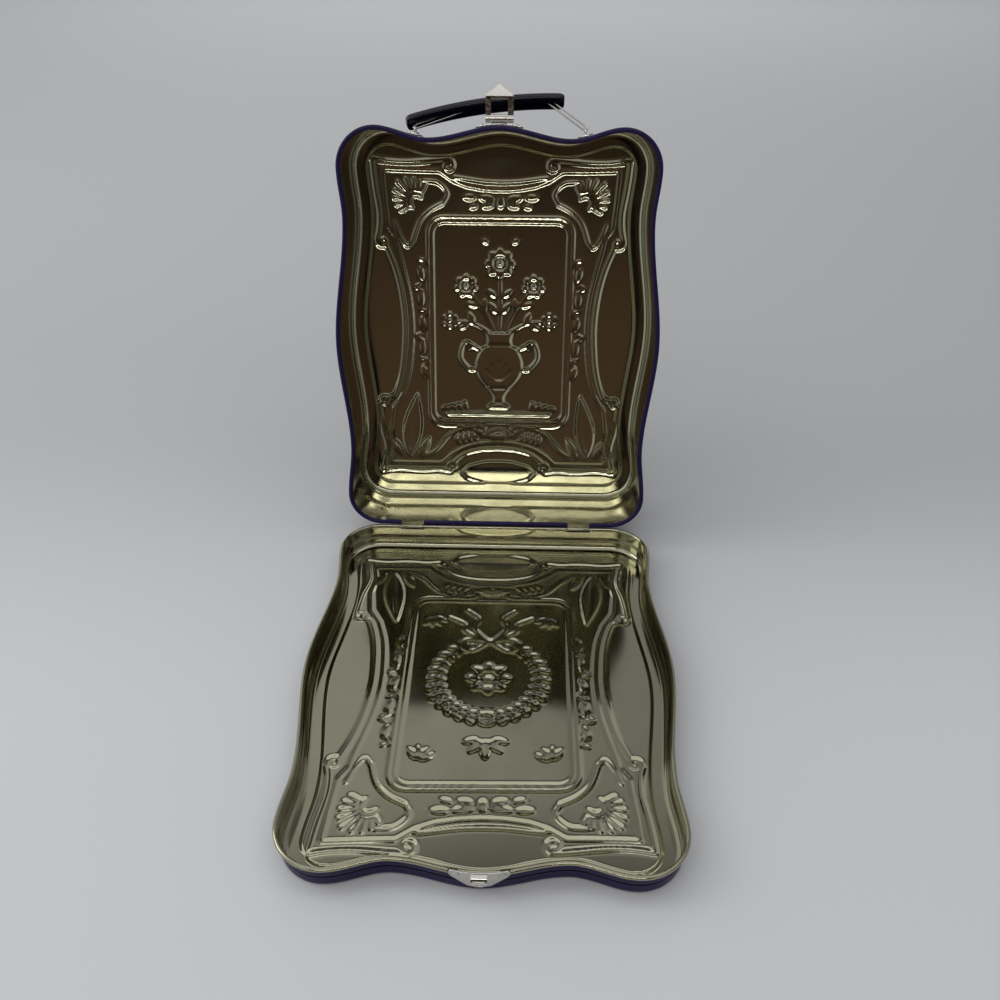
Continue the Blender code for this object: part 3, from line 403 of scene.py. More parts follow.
class ScrollOutline:
    """The scrolled outline that both halves follow, as dense points with outward normals."""

    # Each station's u and v, and the outline's heading there in degrees
    STATIONS = (
        (0.0, 0.0, 0), (68.0, 0.0, 0), (88.0, 18.5, 90), (85.4, 48.0, 90), (91.3, 110.0, 90),
        (84.7, 177.0, 90), (87.0, 203.0, 90), (66.0, 224.2, 180), (38.0, 218.2, 180), (0.0, 224.4, 180),
    )
    FOOT_SEGMENT = 1
    HORN_SEGMENT = 6
    FINE = 60
    # How much a quarter turn lengthens a span's end tangents
    PULL = 0.172

    def __init__(self) -> None:
        """Works out the right half and mirrors it."""
        pieces = [self._segment(i) for i in range(len(self.STATIONS) - 1)]
        right = np.vstack([p[:-1] for p in pieces] + [pieces[-1][-1:]])
        left = right[1:-1][::-1] * (-1.0, 1.0)
        self.loop = np.vstack([right, left])
        self.foot = self.FOOT_SEGMENT * self.FINE + self.FINE // 2
        self.horn = self.HORN_SEGMENT * self.FINE + self.FINE // 2

    def _segment(self, index: int) -> Points:
        """Fine points of one span between stations, by a cubic Hermite curve.

        Args:
            index: The span's first station.

        Returns:
            Its points, both ends with them.
        """
        u0, v0, h0 = self.STATIONS[index]
        u1, v1, h1 = self.STATIONS[index + 1]
        start, end = np.array((u0, v0)), np.array((u1, v1))
        turn = math.radians(abs(h1 - h0))
        pull = np.linalg.norm(end - start) * (1.0 + self.PULL * turn / (math.pi / 2))
        leave, arrive = unit(math.radians(h0)) * pull, unit(math.radians(h1)) * pull
        t = np.linspace(0.0, 1.0, self.FINE + 1)[:, None]
        return (start * (2 * t**3 - 3 * t**2 + 1) + leave * (t**3 - 2 * t**2 + t)
                + end * (3 * t**2 - 2 * t**3) + arrive * (t**3 - t**2))

    def sides(self, offset: float) -> list[Points]:
        """The offset outline in four stretches: hinge edge, right, latch edge and left.

        Args:
            offset: Distance outwards, in millimetres.

        Returns:
            Point rows that run left to right and from hinge to latch.
        """
        loop = self.offset_loop(self.loop, offset)
        count = len(loop)
        index = np.arange(count)
        foot, horn = self.foot, self.horn
        hinge = loop[np.r_[index[count - foot:], index[:foot + 1]]]
        right = loop[foot:horn + 1]
        latch = loop[horn:count - horn + 1][::-1]
        left = loop[count - horn:count - foot + 1][::-1]
        return [hinge, right, latch, left]

    @staticmethod
    def offset_loop(loop: Points, offset: float) -> Points:
        """Moves a closed counter-clockwise loop outwards by an offset."""
        along = np.roll(loop, -1, axis=0) - np.roll(loop, 1, axis=0)
        along /= np.linalg.norm(along, axis=1)[:, None]
        return loop + np.stack([along[:, 1], -along[:, 0]], axis=1) * offset

    def resampled(self, count: int) -> tuple[Points, Points]:
        """Spaces points evenly round the loop, from the hinge's middle.

        Args:
            count: How many points.

        Returns:
            The points and their outward normals.
        """
        closed = np.vstack([self.loop, self.loop[:1]])
        run = np.r_[0.0, np.cumsum(np.linalg.norm(np.diff(closed, axis=0), axis=1))]
        want = np.linspace(0.0, run[-1], count, endpoint=False)
        even = np.stack([np.interp(want, run, closed[:, k]) for k in (0, 1)], axis=1)
        along = np.roll(even, -1, axis=0) - np.roll(even, 1, axis=0)
        along /= np.linalg.norm(along, axis=1)[:, None]
        return even, np.stack([along[:, 1], -along[:, 0]], axis=1)

    def latch_wall(self, u: Points) -> tuple[Points, Points]:
        """Reads the latch edge.

        Args:
            u: Places sideways.

        Returns:
            The edge's v at those places, and the normals there.
        """
        top = self.loop[self.horn:len(self.loop) - self.horn + 1][::-1]
        v = np.interp(u, top[:, 0], top[:, 1])
        near = 0.2
        after, before = (np.interp(u + step, top[:, 0], top[:, 1]) for step in (near, -near))
        slope = (after - before) / (2 * near)
        normal = np.stack([-slope, np.ones_like(slope)], axis=-1)
        return v, normal / np.linalg.norm(normal, axis=-1)[..., None]


def even_row(points: Points, count: int) -> Points:
    """Resamples an open row to evenly spaced points.

    Args:
        points: The row, in u and v.
        count: How many points are wanted.

    Returns:
        The new row.
    """
    run = np.r_[0.0, np.cumsum(np.linalg.norm(np.diff(points, axis=0), axis=1))]
    want = np.linspace(0.0, run[-1], count)
    return np.stack([np.interp(want, run, points[:, k]) for k in (0, 1)], axis=1)


def smooth_path(points: Sequence[Pair], steps: int = 8) -> Points:
    """A Catmull-Rom curve through points.

    Args:
        points: The points, in order.
        steps: Pieces between neighbours.

    Returns:
        Points along the curve.
    """
    p = np.array(points, float)
    padded = np.vstack([2 * p[0] - p[1], p, 2 * p[-1] - p[-2]])
    t = np.linspace(0.0, 1.0, steps, endpoint=False)[:, None]
    rows = []
    for a, b, c, d in zip(padded, padded[1:], padded[2:], padded[3:]):
        rows.append(0.5 * (2 * b + (c - a) * t + (2 * a - 5 * b + 4 * c - d) * t**2
                           + (3 * b - a - 3 * c + d) * t**3))
    return np.vstack(rows + [p[-1:]])


def spiral(centre: Pair, radius: float, start: float, turn: float) -> Points:
    """A volute that winds in.

    Args:
        centre: Its middle.
        radius: Its reach where it starts.
        start: The angle where it starts, in degrees.
        turn: How far it winds, in degrees.

    Returns:
        Points along it.
    """
    winds_in = 0.72
    t = np.linspace(0.0, 1.0, 22)
    angle = np.radians(start + turn * t)
    reach = radius * (1.0 - winds_in * t)
    return unit(angle) * reach[:, None] + centre


@dataclass
class Emboss:
    """The pressed relief of one face: raised lines and raised patches, each with its height."""

    # The height of a main line, which the printed gold follows
    FULL = 0.8

    lines: list[tuple[Points, float, float]] = field(default_factory=list)
    patches: list[tuple[Points, float, float]] = field(default_factory=list)

    def line(self, path: Points, half: float = 1.1, height: float = FULL, mirror: bool = True) -> None:
        """Adds a raised line of a half width, or a groove, and its mirror image unless told not to."""
        self.lines.append((path, half, height))
        if mirror:
            self.lines.append((path * (-1.0, 1.0), half, height))

    def patch(self, loop: Points, slope: float = 1.4, height: float = FULL, mirror: bool = True) -> None:
        """Adds a raised patch with sloping sides, and its mirror image unless told not to."""
        self.patches.append((loop, slope, height))
        if mirror:
            self.patches.append((loop * (-1.0, 1.0), slope, height))

    def leaf(self, foot: Pair | Points, length: float, width: float, degrees: float,
             mirror: bool = True, bend: float = 0.0) -> None:
        """Adds a pointed leaf with a sunk midrib.

        Args:
            foot: Where the leaf springs from.
            length: Foot to tip.
            width: Across its widest part.
            degrees: Its direction, from sideways round to the latch.
            mirror: Whether the other side gets one too.
            bend: Sideways drift of the tip.
        """
        t = np.linspace(0.0, 1.0, 9)
        swell = np.sin(math.pi * t**0.8) * width / 2
        drift = bend * t**2
        side = np.r_[swell + drift, (-swell + drift)[::-1][1:-1]]
        along = np.r_[t, t[::-1][1:-1]] * length
        c, s = math.cos(math.radians(degrees)), math.sin(math.radians(degrees))
        turned = np.stack([along * c - side * s, along * s + side * c], axis=1)
        self.patch(turned + foot, slope=min(1.1, width / 3), height=0.75, mirror=mirror)
        rib = np.stack([t * length * c - drift * s, t * length * s + drift * c], axis=1)[1:-1]
        self.line(rib + foot, half=0.45, height=-0.35, mirror=mirror)

    def height(self, grid: Points) -> Points:
        """Relief height over the field at points, in millimetres.

        Args:
            grid: Points in u and v, any shape with two at its end.

        Returns:
            Heights, positive away from the inside.
        """
        flat = grid.reshape(-1, 2)
        raised = np.zeros(len(flat))
        sunk = np.zeros(len(flat))
        for loop, slope, height in self.patches:
            near = self._near(flat, loop, slope)
            if not near.any():
                continue
            points = flat[near]
            depth = self.distance(points, np.vstack([loop, loop[:1]]))
            depth[~self._inside(points, loop)] = 0.0
            rise = self.ease(depth / slope) * height
            raised[near] = np.maximum(raised[near], rise)
        for path, half, height in self.lines:
            near = self._near(flat, path, half * 2 + 1.0)
            if not near.any():
                continue
            away = self.distance(flat[near], path)
            # A line's sides are at least 1.2 mm wide, as far as a sheet can be bent
            ramp = max(1.2 * half, 1.2)
            rise = self.ease((1.075 * half + ramp / 2 - away) / ramp) * height
            if height > 0:
                raised[near] = np.maximum(raised[near], rise)
            else:
                sunk[near] = np.minimum(sunk[near], rise)
        return (raised + sunk).reshape(grid.shape[:-1])

    @staticmethod
    def ease(t: Points) -> Points:
        """A smooth step from 0 to 1."""
        t = np.clip(t, 0.0, 1.0)
        return t * t * (3.0 - 2.0 * t)

    @staticmethod
    def _near(flat: Points, path: Points, reach: float) -> Points:
        """Which points lie in a path's box, widened by a reach."""
        low, high = path.min(axis=0) - reach, path.max(axis=0) + reach
        return ((flat > low) & (flat < high)).all(axis=1)

    @staticmethod
    def distance(points: Points, path: Points) -> Points:
        """Measures how far points lie from an open path.

        Args:
            points: The points, in u and v.
            path: The path's corners.

        Returns:
            A distance for each point.
        """
        best = np.full(len(points), np.inf)
        for a, b in zip(path, path[1:]):
            span = b - a
            size = max(float(span @ span), 1e-12)
            t = np.clip(((points - a) @ span) / size, 0.0, 1.0)
            gap = points - a - t[:, None] * span
            best = np.minimum(best, np.einsum("ij,ij->i", gap, gap))
        return np.sqrt(best)

    @staticmethod
    def _inside(points: Points, loop: Points) -> Points:
        """Tells which points a closed loop holds, by counting its crossings to one side.

        Args:
            points: The points, in u and v.
            loop: The loop's corners.

        Returns:
            True for each point inside.
        """
        hit = np.zeros(len(points), bool)
        x, y = points[:, 0], points[:, 1]
        for a, b in zip(loop, np.roll(loop, 1, axis=0)):
            if a[1] == b[1]:
                continue
            crosses = (a[1] > y) != (b[1] > y)
            at = (b[0] - a[0]) * (y - a[1]) / (b[1] - a[1]) + a[0]
            hit ^= crosses & (x < at)
        return hit


class Picture(Enum):
    """What is pressed in the middle of a half."""

    VASE = "vase of flowers"
    WREATH = "ribboned wreath"


@dataclass
class FaceDesign:
    """The pressed design of a face: a scroll frame, a picture panel and its picture."""

    picture: Picture
    emboss: Emboss = field(default_factory=Emboss)

    def build(self) -> Emboss:
        """Adds the frame, the panel, the ornaments and the picture."""
        self.scroll_frame()
        self.picture_panel()
        self.cartouche()
        self.ornaments()
        if self.picture is Picture.VASE:
            self.vase()
        else:
            self.wreath()
        return self.emboss

    def scroll_frame(self) -> None:
        """The outer frame with its volutes, and the mitred line inside it."""
        e = self.emboss
        e.line(smooth_path([(31.5, 207.9), (39.0, 207.3), (54.0, 206.0), (66.0, 206.4), (75.6, 208.1)]))
        e.line(spiral((31.0, 204.2), 3.9, 84.0, 400.0), 0.85)
        e.line(smooth_path([(75.6, 208.1), (74.2, 193.0), (72.0, 178.0), (72.6, 168.0), (74.2, 162.2)]))
        e.line(spiral((70.6, 161.0), 3.6, 18.0, -400.0), 0.85)
        e.line(smooth_path([
            (68.2, 157.9), (63.6, 146.0), (60.2, 132.0), (58.4, 115.0), (58.7, 100.5), (60.9, 82.5),
            (65.4, 68.0), (69.0, 65.4)]))
        e.line(spiral((72.4, 62.9), 3.4, 160.0, -400.0), 0.85)
        e.line(smooth_path([(75.8, 61.5), (74.4, 46.0), (71.6, 32.0), (74.7, 16.8)]))
        e.line(smooth_path([(74.7, 16.8), (64.0, 18.2), (50.0, 17.4), (38.0, 18.0), (31.0, 16.9)]))
        e.line(spiral((29.4, 20.2), 3.5, -66.0, 400.0), 0.85)
        e.line(smooth_path([(27.4, 197.9), (20.0, 196.9), (10.0, 195.6), (0.0, 195.2)]), 0.9)
        inner = [
            (0.0, 190.9), (9.0, 191.3), (20.0, 193.2), (28.2, 196.2), (36.0, 201.4), (52.0, 201.6),
            (69.4, 202.2)]
        e.line(np.array(inner), 0.7, 0.6)
        down = [(69.4, 202.2), (68.4, 186.0), (67.0, 170.0), (62.6, 163.4), (61.4, 156.5)]
        e.line(np.array(down), 0.7, 0.6)
        e.line(smooth_path([
            (61.4, 156.5), (58.2, 144.0), (55.2, 130.0), (53.7, 115.0), (54.0, 100.5), (56.2, 82.5),
            (60.6, 68.0)]), 0.7, 0.6)
        foot = [
            (60.6, 68.0), (66.6, 58.5), (68.6, 44.0), (67.0, 32.0), (69.3, 22.3), (52.0, 22.3),
            (36.6, 22.3)]
        e.line(np.array(foot), 0.7, 0.6)
        arch = [(36.6, 22.3), (29.0, 28.8), (20.0, 33.6), (10.0, 36.0), (0.0, 36.8)]
        e.line(smooth_path(arch), 0.7, 0.6)

    def picture_panel(self) -> None:
        """The rounded double border of the picture panel, its lower ends curled."""
        turn = np.radians(np.linspace(0.0, 90.0, 9))
        # Half width, lower and upper end, corner, where the lower side stops, line and its height
        for half, low, high, corner, end, width, height in (
                (43.6, 47.4, 175.6, 9.5, 11.0, 0.75, 0.7), (40.9, 50.1, 172.9, 7.5, 0.0, 0.7, 0.6)):
            side, over, under = half - corner, high - corner, low + corner
            top = unit(turn) * corner + (side, over)
            foot = unit(turn - math.pi / 2) * corner + (side, under)
            path = np.vstack([[(end, low)], foot, top, [(0.0, high)]])
            self.emboss.line(path, width, height)
        self.emboss.line(spiral((10.6, 45.2), 2.4, 90.0, 380.0), 0.6, 0.6)

    def cartouche(self) -> None:
        """The plain scalloped cartouche by the hinge, under its arch and small shell."""
        e = self.emboss
        angle = np.linspace(0.0, 2 * math.pi, 97)[:-1]
        wave = 1.0 + 0.035 * np.abs(np.cos(5.0 * angle))
        loop = unit(angle) * wave[:, None] * (23.6, 8.6) + (0.0, 16.2)
        e.patch(loop, 1.5, 0.8, mirror=False)
        e.line(smooth_path([(27.6, 24.0), (21.0, 28.8), (11.0, 31.6), (0.0, 32.4)]), 0.85)
        hub = np.array((0.0, 36.5))
        for k in range(4):
            ray = unit(math.radians(90.0 - 17.0 * k))
            e.line(np.array([hub + ray * 3.4, hub + ray * 8.4]), 0.75, 0.7, mirror=k > 0)
        for k in range(4):
            x = 14.0 + 3.6 * k
            curl = [(x, 38.2 - 0.7 * k), (x + 2.2, 41.8 - 0.9 * k), (x + 1.6, 44.6 - 0.9 * k)]
            e.line(smooth_path(curl), 0.75, 0.65)
        trail = [(9.0, 41.0), (18.0, 46.0), (30.0, 42.0), (40.0, 31.0), (49.0, 26.5)]
        e.line(smooth_path(trail), 0.7, 0.65)

    def ornaments(self) -> None:
        """Fans in the far corners, a spread of leaves between them, garlands and tall leaves."""
        e = self.emboss
        # Shell fans in the two corners next to the latch
        hub = np.array((50.0, 184.0))
        for k in range(9):
            ray = unit(math.radians(-28.0 + 18.5 * k))
            reach = 15.6 - 1.28 * abs(k - 4)
            e.line(np.array([hub + ray * 6.2, hub + ray * reach]), 0.95, 0.8)
        turn = np.radians(np.linspace(-50.0, 140.0, 15))
        e.line(hub + unit(turn) * 3.9, 0.8, 0.75)
        e.line(smooth_path([(45.6, 196.0), (37.2, 195.0), (31.6, 189.0), (34.0, 183.4)]), 0.75, 0.7)
        e.line(smooth_path([(34.0, 183.4), (42.0, 179.2), (48.4, 172.4), (52.6, 161.4)]), 0.85, 0.8)
        e.line(smooth_path([(52.6, 161.4), (56.0, 158.4), (60.0, 164.0), (63.0, 172.0)]), 0.75, 0.7)
        # Spread leaves over the picture panel
        for foot, length, width, lean in (
                ((2.0, 184.6), 13.5, 5.4, 12.0), ((13.0, 186.6), 12.0, 4.4, 2.0),
                ((2.6, 183.0), 11.0, 4.2, -10.0), ((12.0, 182.6), 9.0, 3.6, -14.0)):
            e.leaf(foot, length, width, lean)
        e.leaf((0.0, 179.6), 10.0, 5.2, 90.0, mirror=False)
        # Husk garlands between the frame and the panel
        for k in range(5):
            v = 148.0 - 15.0 * k
            e.leaf((48.7 - 0.25 * k, v), 12.5, 4.6, 262.0, bend=0.8 if k % 2 else -0.8)
            tendril = [(46.6, v - 1.5), (44.9 + 6.6 * (k % 2), v + 1.6), (48.6, v + 3.2)]
            e.line(smooth_path(tendril), 0.6, 0.6)
        # Tall leaves in the corners next to the hinge
        e.leaf((57.0, 25.6), 45.0, 13.0, 94.0, bend=3.0)
        e.leaf((51.0, 26.2), 17.0, 6.0, 118.0)
        e.leaf((61.5, 26.0), 15.0, 4.6, 66.0)

    def vase(self) -> None:
        """A two-handled vase with a spray of flowers."""
        e = self.emboss
        right = smooth_path([
            (6.6, 57.5), (8.0, 60.0), (4.2, 65.0), (6.6, 70.0), (13.6, 79.0), (15.6, 88.0), (12.2, 97.0),
            (8.4, 101.5), (9.4, 106.0), (12.0, 108.5)], 5)
        loop = np.vstack([right, (right * (-1.0, 1.0))[::-1]])
        e.patch(loop, 2.4, 0.8, mirror=False)
        for v, half in ((63.2, 4.4), (72.2, 8.0), (99.4, 9.4)):
            e.line(np.array([(-half, v), (half, v)]), 0.5, -0.35, mirror=False)
        ear = [(13.0, 97.0), (21.0, 101.0), (24.0, 92.0), (18.6, 84.4), (15.2, 84.0)]
        e.line(smooth_path(ear), 0.85, 0.75)
        e.line(spiral((18.6, 98.6), 2.2, 60.0, 380.0), 0.5, 0.6)
        for k in range(5):
            e.leaf((0.0, 76.5), 15.0 - 1.4 * abs(k - 2), 3.6, 90.0 + 24.0 * (k - 2), mirror=False)
        e.line(np.array([(-32.0, 55.4), (32.0, 55.4)]), 0.9, 0.8, mirror=False)
        for k in range(4):
            x = 4.0 * k
            e.line(smooth_path([(20.0 + x, 58.5), (21.5 + x, 63.0 - k), (23.4 + x, 58.5)]), 0.6, 0.6)
        stems = (
            [(0.0, 108.0), (0.5, 125.0), (0.0, 141.0)],
            [(3.0, 108.0), (9.0, 120.0), (17.0, 130.0)],
            [(6.0, 107.5), (17.0, 113.0), (27.0, 114.0)],
        )
        for k, stem in enumerate(stems):
            e.line(smooth_path(stem), 0.6, 0.65, mirror=k > 0)
        self._flower((0.0, 149.0), 10.5, 8, mirror=False)
        self._flower((20.5, 135.5), 8.6, 7)
        self._flower((30.5, 114.5), 6.6, 6)
        for foot, length, width, lean in (
                ((0.5, 118.0), 12.0, 4.6, 52.0), ((1.0, 128.0), 11.0, 4.0, 40.0),
                ((9.0, 119.5), 11.0, 4.4, 88.0), ((12.0, 122.5), 11.0, 4.0, 20.0),
                ((18.0, 113.0), 10.0, 4.0, -28.0), ((15.0, 112.0), 11.0, 4.4, 62.0),
                ((6.0, 160.0), 8.0, 3.6, 30.0)):
            e.leaf(foot, length, width, lean)

    def _flower(self, centre: Pair, radius: float, petals: int, mirror: bool = True) -> None:
        """Adds an open flower: petals round a raised eye.

        Args:
            centre: Its middle.
            radius: Its reach to the petals' tips.
            petals: How many it has.
            mirror: Whether the other side gets one too.
        """
        for k in range(petals):
            lean = 90.0 + 360.0 * k / petals
            foot = unit(math.radians(lean)) * radius * 0.28 + centre
            self.emboss.leaf(foot, radius * 0.72, radius * 0.56, lean, mirror)
        eye = unit(np.linspace(0.0, 2 * math.pi, 13)[:-1]) * radius * 0.22 + centre
        self.emboss.patch(eye, 1.0, 0.85, mirror)

    def wreath(self) -> None:
        """A laurel wreath tied with a ribbon, round a rosette."""
        e = self.emboss
        centre, radius = np.array((0.0, 108.0)), 25.5
        turn = np.radians(np.linspace(-72.0, 82.0, 40))
        e.line(centre + unit(turn) * radius, 0.7, 0.7)
        for k in range(13):
            lean = -68.0 + 12.2 * k
            at = centre + unit(math.radians(lean)) * radius
            e.leaf(at, 9.6, 4.0, lean + 52.0)
            e.leaf(at, 8.6, 3.6, lean + 130.0)
        self._flower((0.0, 108.0), 12.5, 8, mirror=False)
        # The bow at the foot of the wreath and its two tails
        for path in (
                [(1.0, 82.0), (9.0, 88.0), (15.0, 84.5), (11.0, 79.5), (1.5, 81.0)],
                [(1.5, 80.5), (8.0, 72.0), (6.5, 64.0), (12.5, 57.5)],
                [(2.0, 80.0), (13.0, 74.0), (14.0, 68.0), (22.0, 63.0)]):
            e.line(smooth_path(path), 1.0, 0.8)
        e.patch(np.array([(-2.6, 79.0), (2.6, 79.0), (2.6, 84.0), (-2.6, 84.0)]), 1.2, 0.85, mirror=False)
        # Sprigs in the corners of the panel
        for foot, sign in (((31.0, 62.0), 1.0), ((31.0, 160.0), -1.0)):
            for lean in (60.0, 90.0, 120.0, 150.0):
                e.leaf(foot, 11.5, 4.2, lean * sign)
        e.leaf((0.0, 146.0), 15.0, 6.0, 90.0, mirror=False)
        e.leaf((1.0, 146.5), 13.0, 5.0, 52.0)
        e.leaf((2.0, 146.5), 11.0, 4.4, 16.0)


class MeshBook:
    """Collects vertices, faces and face skins, then makes one smooth mesh object."""

    def __init__(self) -> None:
        """Starts empty."""
        self.blocks: list[Points] = []
        self.relief: list[Points] = []
        self.faces: list[Points] = []
        self.skins: list[Points] = []
        self.count = 0

    def add_points(self, points: Points, relief: Points | None = None) -> int:
        """Adds points.

        Args:
            points: Places in metres.
            relief: How high the press raised each, as a share; none where it didn't.

        Returns:
            The number of the first.
        """
        flat = points.reshape(-1, 3)
        first = self.count
        self.blocks.append(flat)
        self.relief.append(np.zeros(len(flat)) if relief is None else relief.reshape(-1))
        self.count += len(flat)
        return first

    def add_faces(self, faces: Points, skin: int) -> None:
        """Adds faces of four corners, a triangle repeating its last, with their finish."""
        rows = np.asarray(faces, np.int64).reshape(-1, 4)
        self.faces.append(rows)
        self.skins.append(np.full(len(rows), skin))

    def bridge(self, first: Points, second: Points, skin: int) -> None:
        """Joins two closed loops of any two sizes.

        Args:
            first: Vertex numbers of one loop.
            second: Vertex numbers of the other.
            skin: The finish of the faces between.
        """
        a, b = len(first), len(second)
        if a == b:
            i = np.arange(a)
            j = (i + 1) % a
            self.add_faces(np.stack([first[i], first[j], second[j], second[i]], axis=1), skin)
            return
        rows = []
        i = j = 0
        while i < a or j < b:
            if j >= b or (i < a and (i + 1) / a <= (j + 1) / b):
                rows.append((first[i % a], first[(i + 1) % a], second[j % b], second[j % b]))
                i += 1
            else:
                rows.append((first[i % a], second[(j + 1) % b], second[j % b], second[j % b]))
                j += 1
        self.add_faces(np.array(rows), skin)

    def build(self, name: str, materials: Sequence[Finish], sharp: float) -> Piece:
        """Makes the object.

        Args:
            name: The piece's name.
            materials: Its slots, in skin order.
            sharp: Edges past this many degrees stay sharp.

        Returns:
            The object, linked to the scene.
        """
        verts = np.vstack(self.blocks)
        rows = np.vstack(self.faces)
        polygons = [tuple(r[:3]) if r[2] == r[3] else tuple(r) for r in rows.tolist()]
        mesh = bpy.data.meshes.new(name)
        mesh.from_pydata(verts.tolist(), [], polygons)
        for material in materials:
            mesh.materials.append(material)
        mesh.polygons.foreach_set("material_index", np.concatenate(self.skins).astype(np.int32))
        attribute = mesh.attributes.new("relief", "FLOAT", "POINT")
        attribute.data.foreach_set("value", np.concatenate(self.relief).astype(np.float32))
        self.close(mesh)
        shade(mesh, sharp)
        return placed(name, mesh)

    @staticmethod
    def close(mesh: bpy.types.Mesh) -> None:
        """Turns all faces of a closed mesh outwards."""
        work = bmesh.new()
        work.from_mesh(mesh)
        bmesh.ops.recalc_face_normals(work, faces=work.faces)
        work.to_mesh(mesh)
        work.free()


def sweep(place: Place, path: Points, normals: Points, section: Sequence[SectionRow],
          shift: Callable[[int, Points], Points] | None = None) -> MeshBook:
    """Carries a closed wall section round an outline.

    Args:
        place: Turns outline coordinates to the frame.
        path: Even points round the outline.
        normals: Their outward normals.
        section: Outward offset, depth and the skin of the wall that follows, in order.
        shift: Extra outward offset for a section row along the path.

    Returns:
        The closed band.
    """
    book = MeshBook()
    loops = []
    for k, (o, w, _) in enumerate(section):
        reach = np.full(len(path), o)
        if shift is not None:
            reach = shift(k, reach)
        at = path + normals * reach[:, None]
        first = book.add_points(place(at[:, 0], at[:, 1], np.full(len(path), w)))
        loops.append(np.arange(first, first + len(path)))
    for k, (_, _, skin) in enumerate(section):
        book.bridge(loops[k], loops[(k + 1) % len(loops)], skin.value)
    return book


def arc_rows(centre: Pair, radius: float, start: float, end: float, steps: int,
             skin: Skin) -> list[SectionRow]:
    """Section rows on an arc.

    Args:
        centre: Outward offset and depth of its middle.
        radius: Its radius.
        start: Where it starts, in degrees from outward towards the face.
        end: Where it ends.
        steps: Pieces between the two.
        skin: The finish of the walls that follow.

    Returns:
        Outward offset, depth and finish of each row.
    """
    rows = []
    for angle in np.radians(np.linspace(start, end, steps + 1)):
        rows.append((centre[0] + radius * math.cos(angle), centre[1] + radius * math.sin(angle), skin))
    return rows


def cut_away(target: Piece, boxes: Sequence[Piece]) -> None:
    """Cuts solids out of a piece for good.

    Args:
        target: The piece.
        boxes: The solids, which are removed.
    """
    for box in boxes:
        step = target.modifiers.new(box.name, "BOOLEAN")
        step.operation = "DIFFERENCE"
        step.solver = "EXACT"
        step.object = box
    graph = bpy.context.evaluated_depsgraph_get()
    mesh = bpy.data.meshes.new_from_object(target.evaluated_get(graph))
    target.modifiers.clear()
    target.data = mesh
    mesh.name = target.name
    for box in boxes:
        bpy.data.objects.remove(box, do_unlink=True)


def frame_box(name: str, low: Triple, high: Triple, turn: Matrix, material: Finish) -> Piece:
    """A plain box to cut with.

    Args:
        name: Its name.
        low: Its lowest corner, in millimetres.
        high: Its highest corner.
        turn: The frame that the corners are in.
        material: What the cut's own walls wear.

    Returns:
        The box in the shared frame.
    """
    corners = np.array([[(low, high)[(i >> k) & 1][k] for k in range(3)] for i in range(8)]) * MM
    faces = [(0, 2, 3, 1), (4, 5, 7, 6), (0, 1, 5, 4), (2, 6, 7, 3), (0, 4, 6, 2), (1, 3, 7, 5)]
    mesh = bpy.data.meshes.new(name)
    mesh.from_pydata(corners.tolist(), [], faces)
    mesh.transform(turn)
    mesh.materials.append(material)
    return placed(name, mesh)


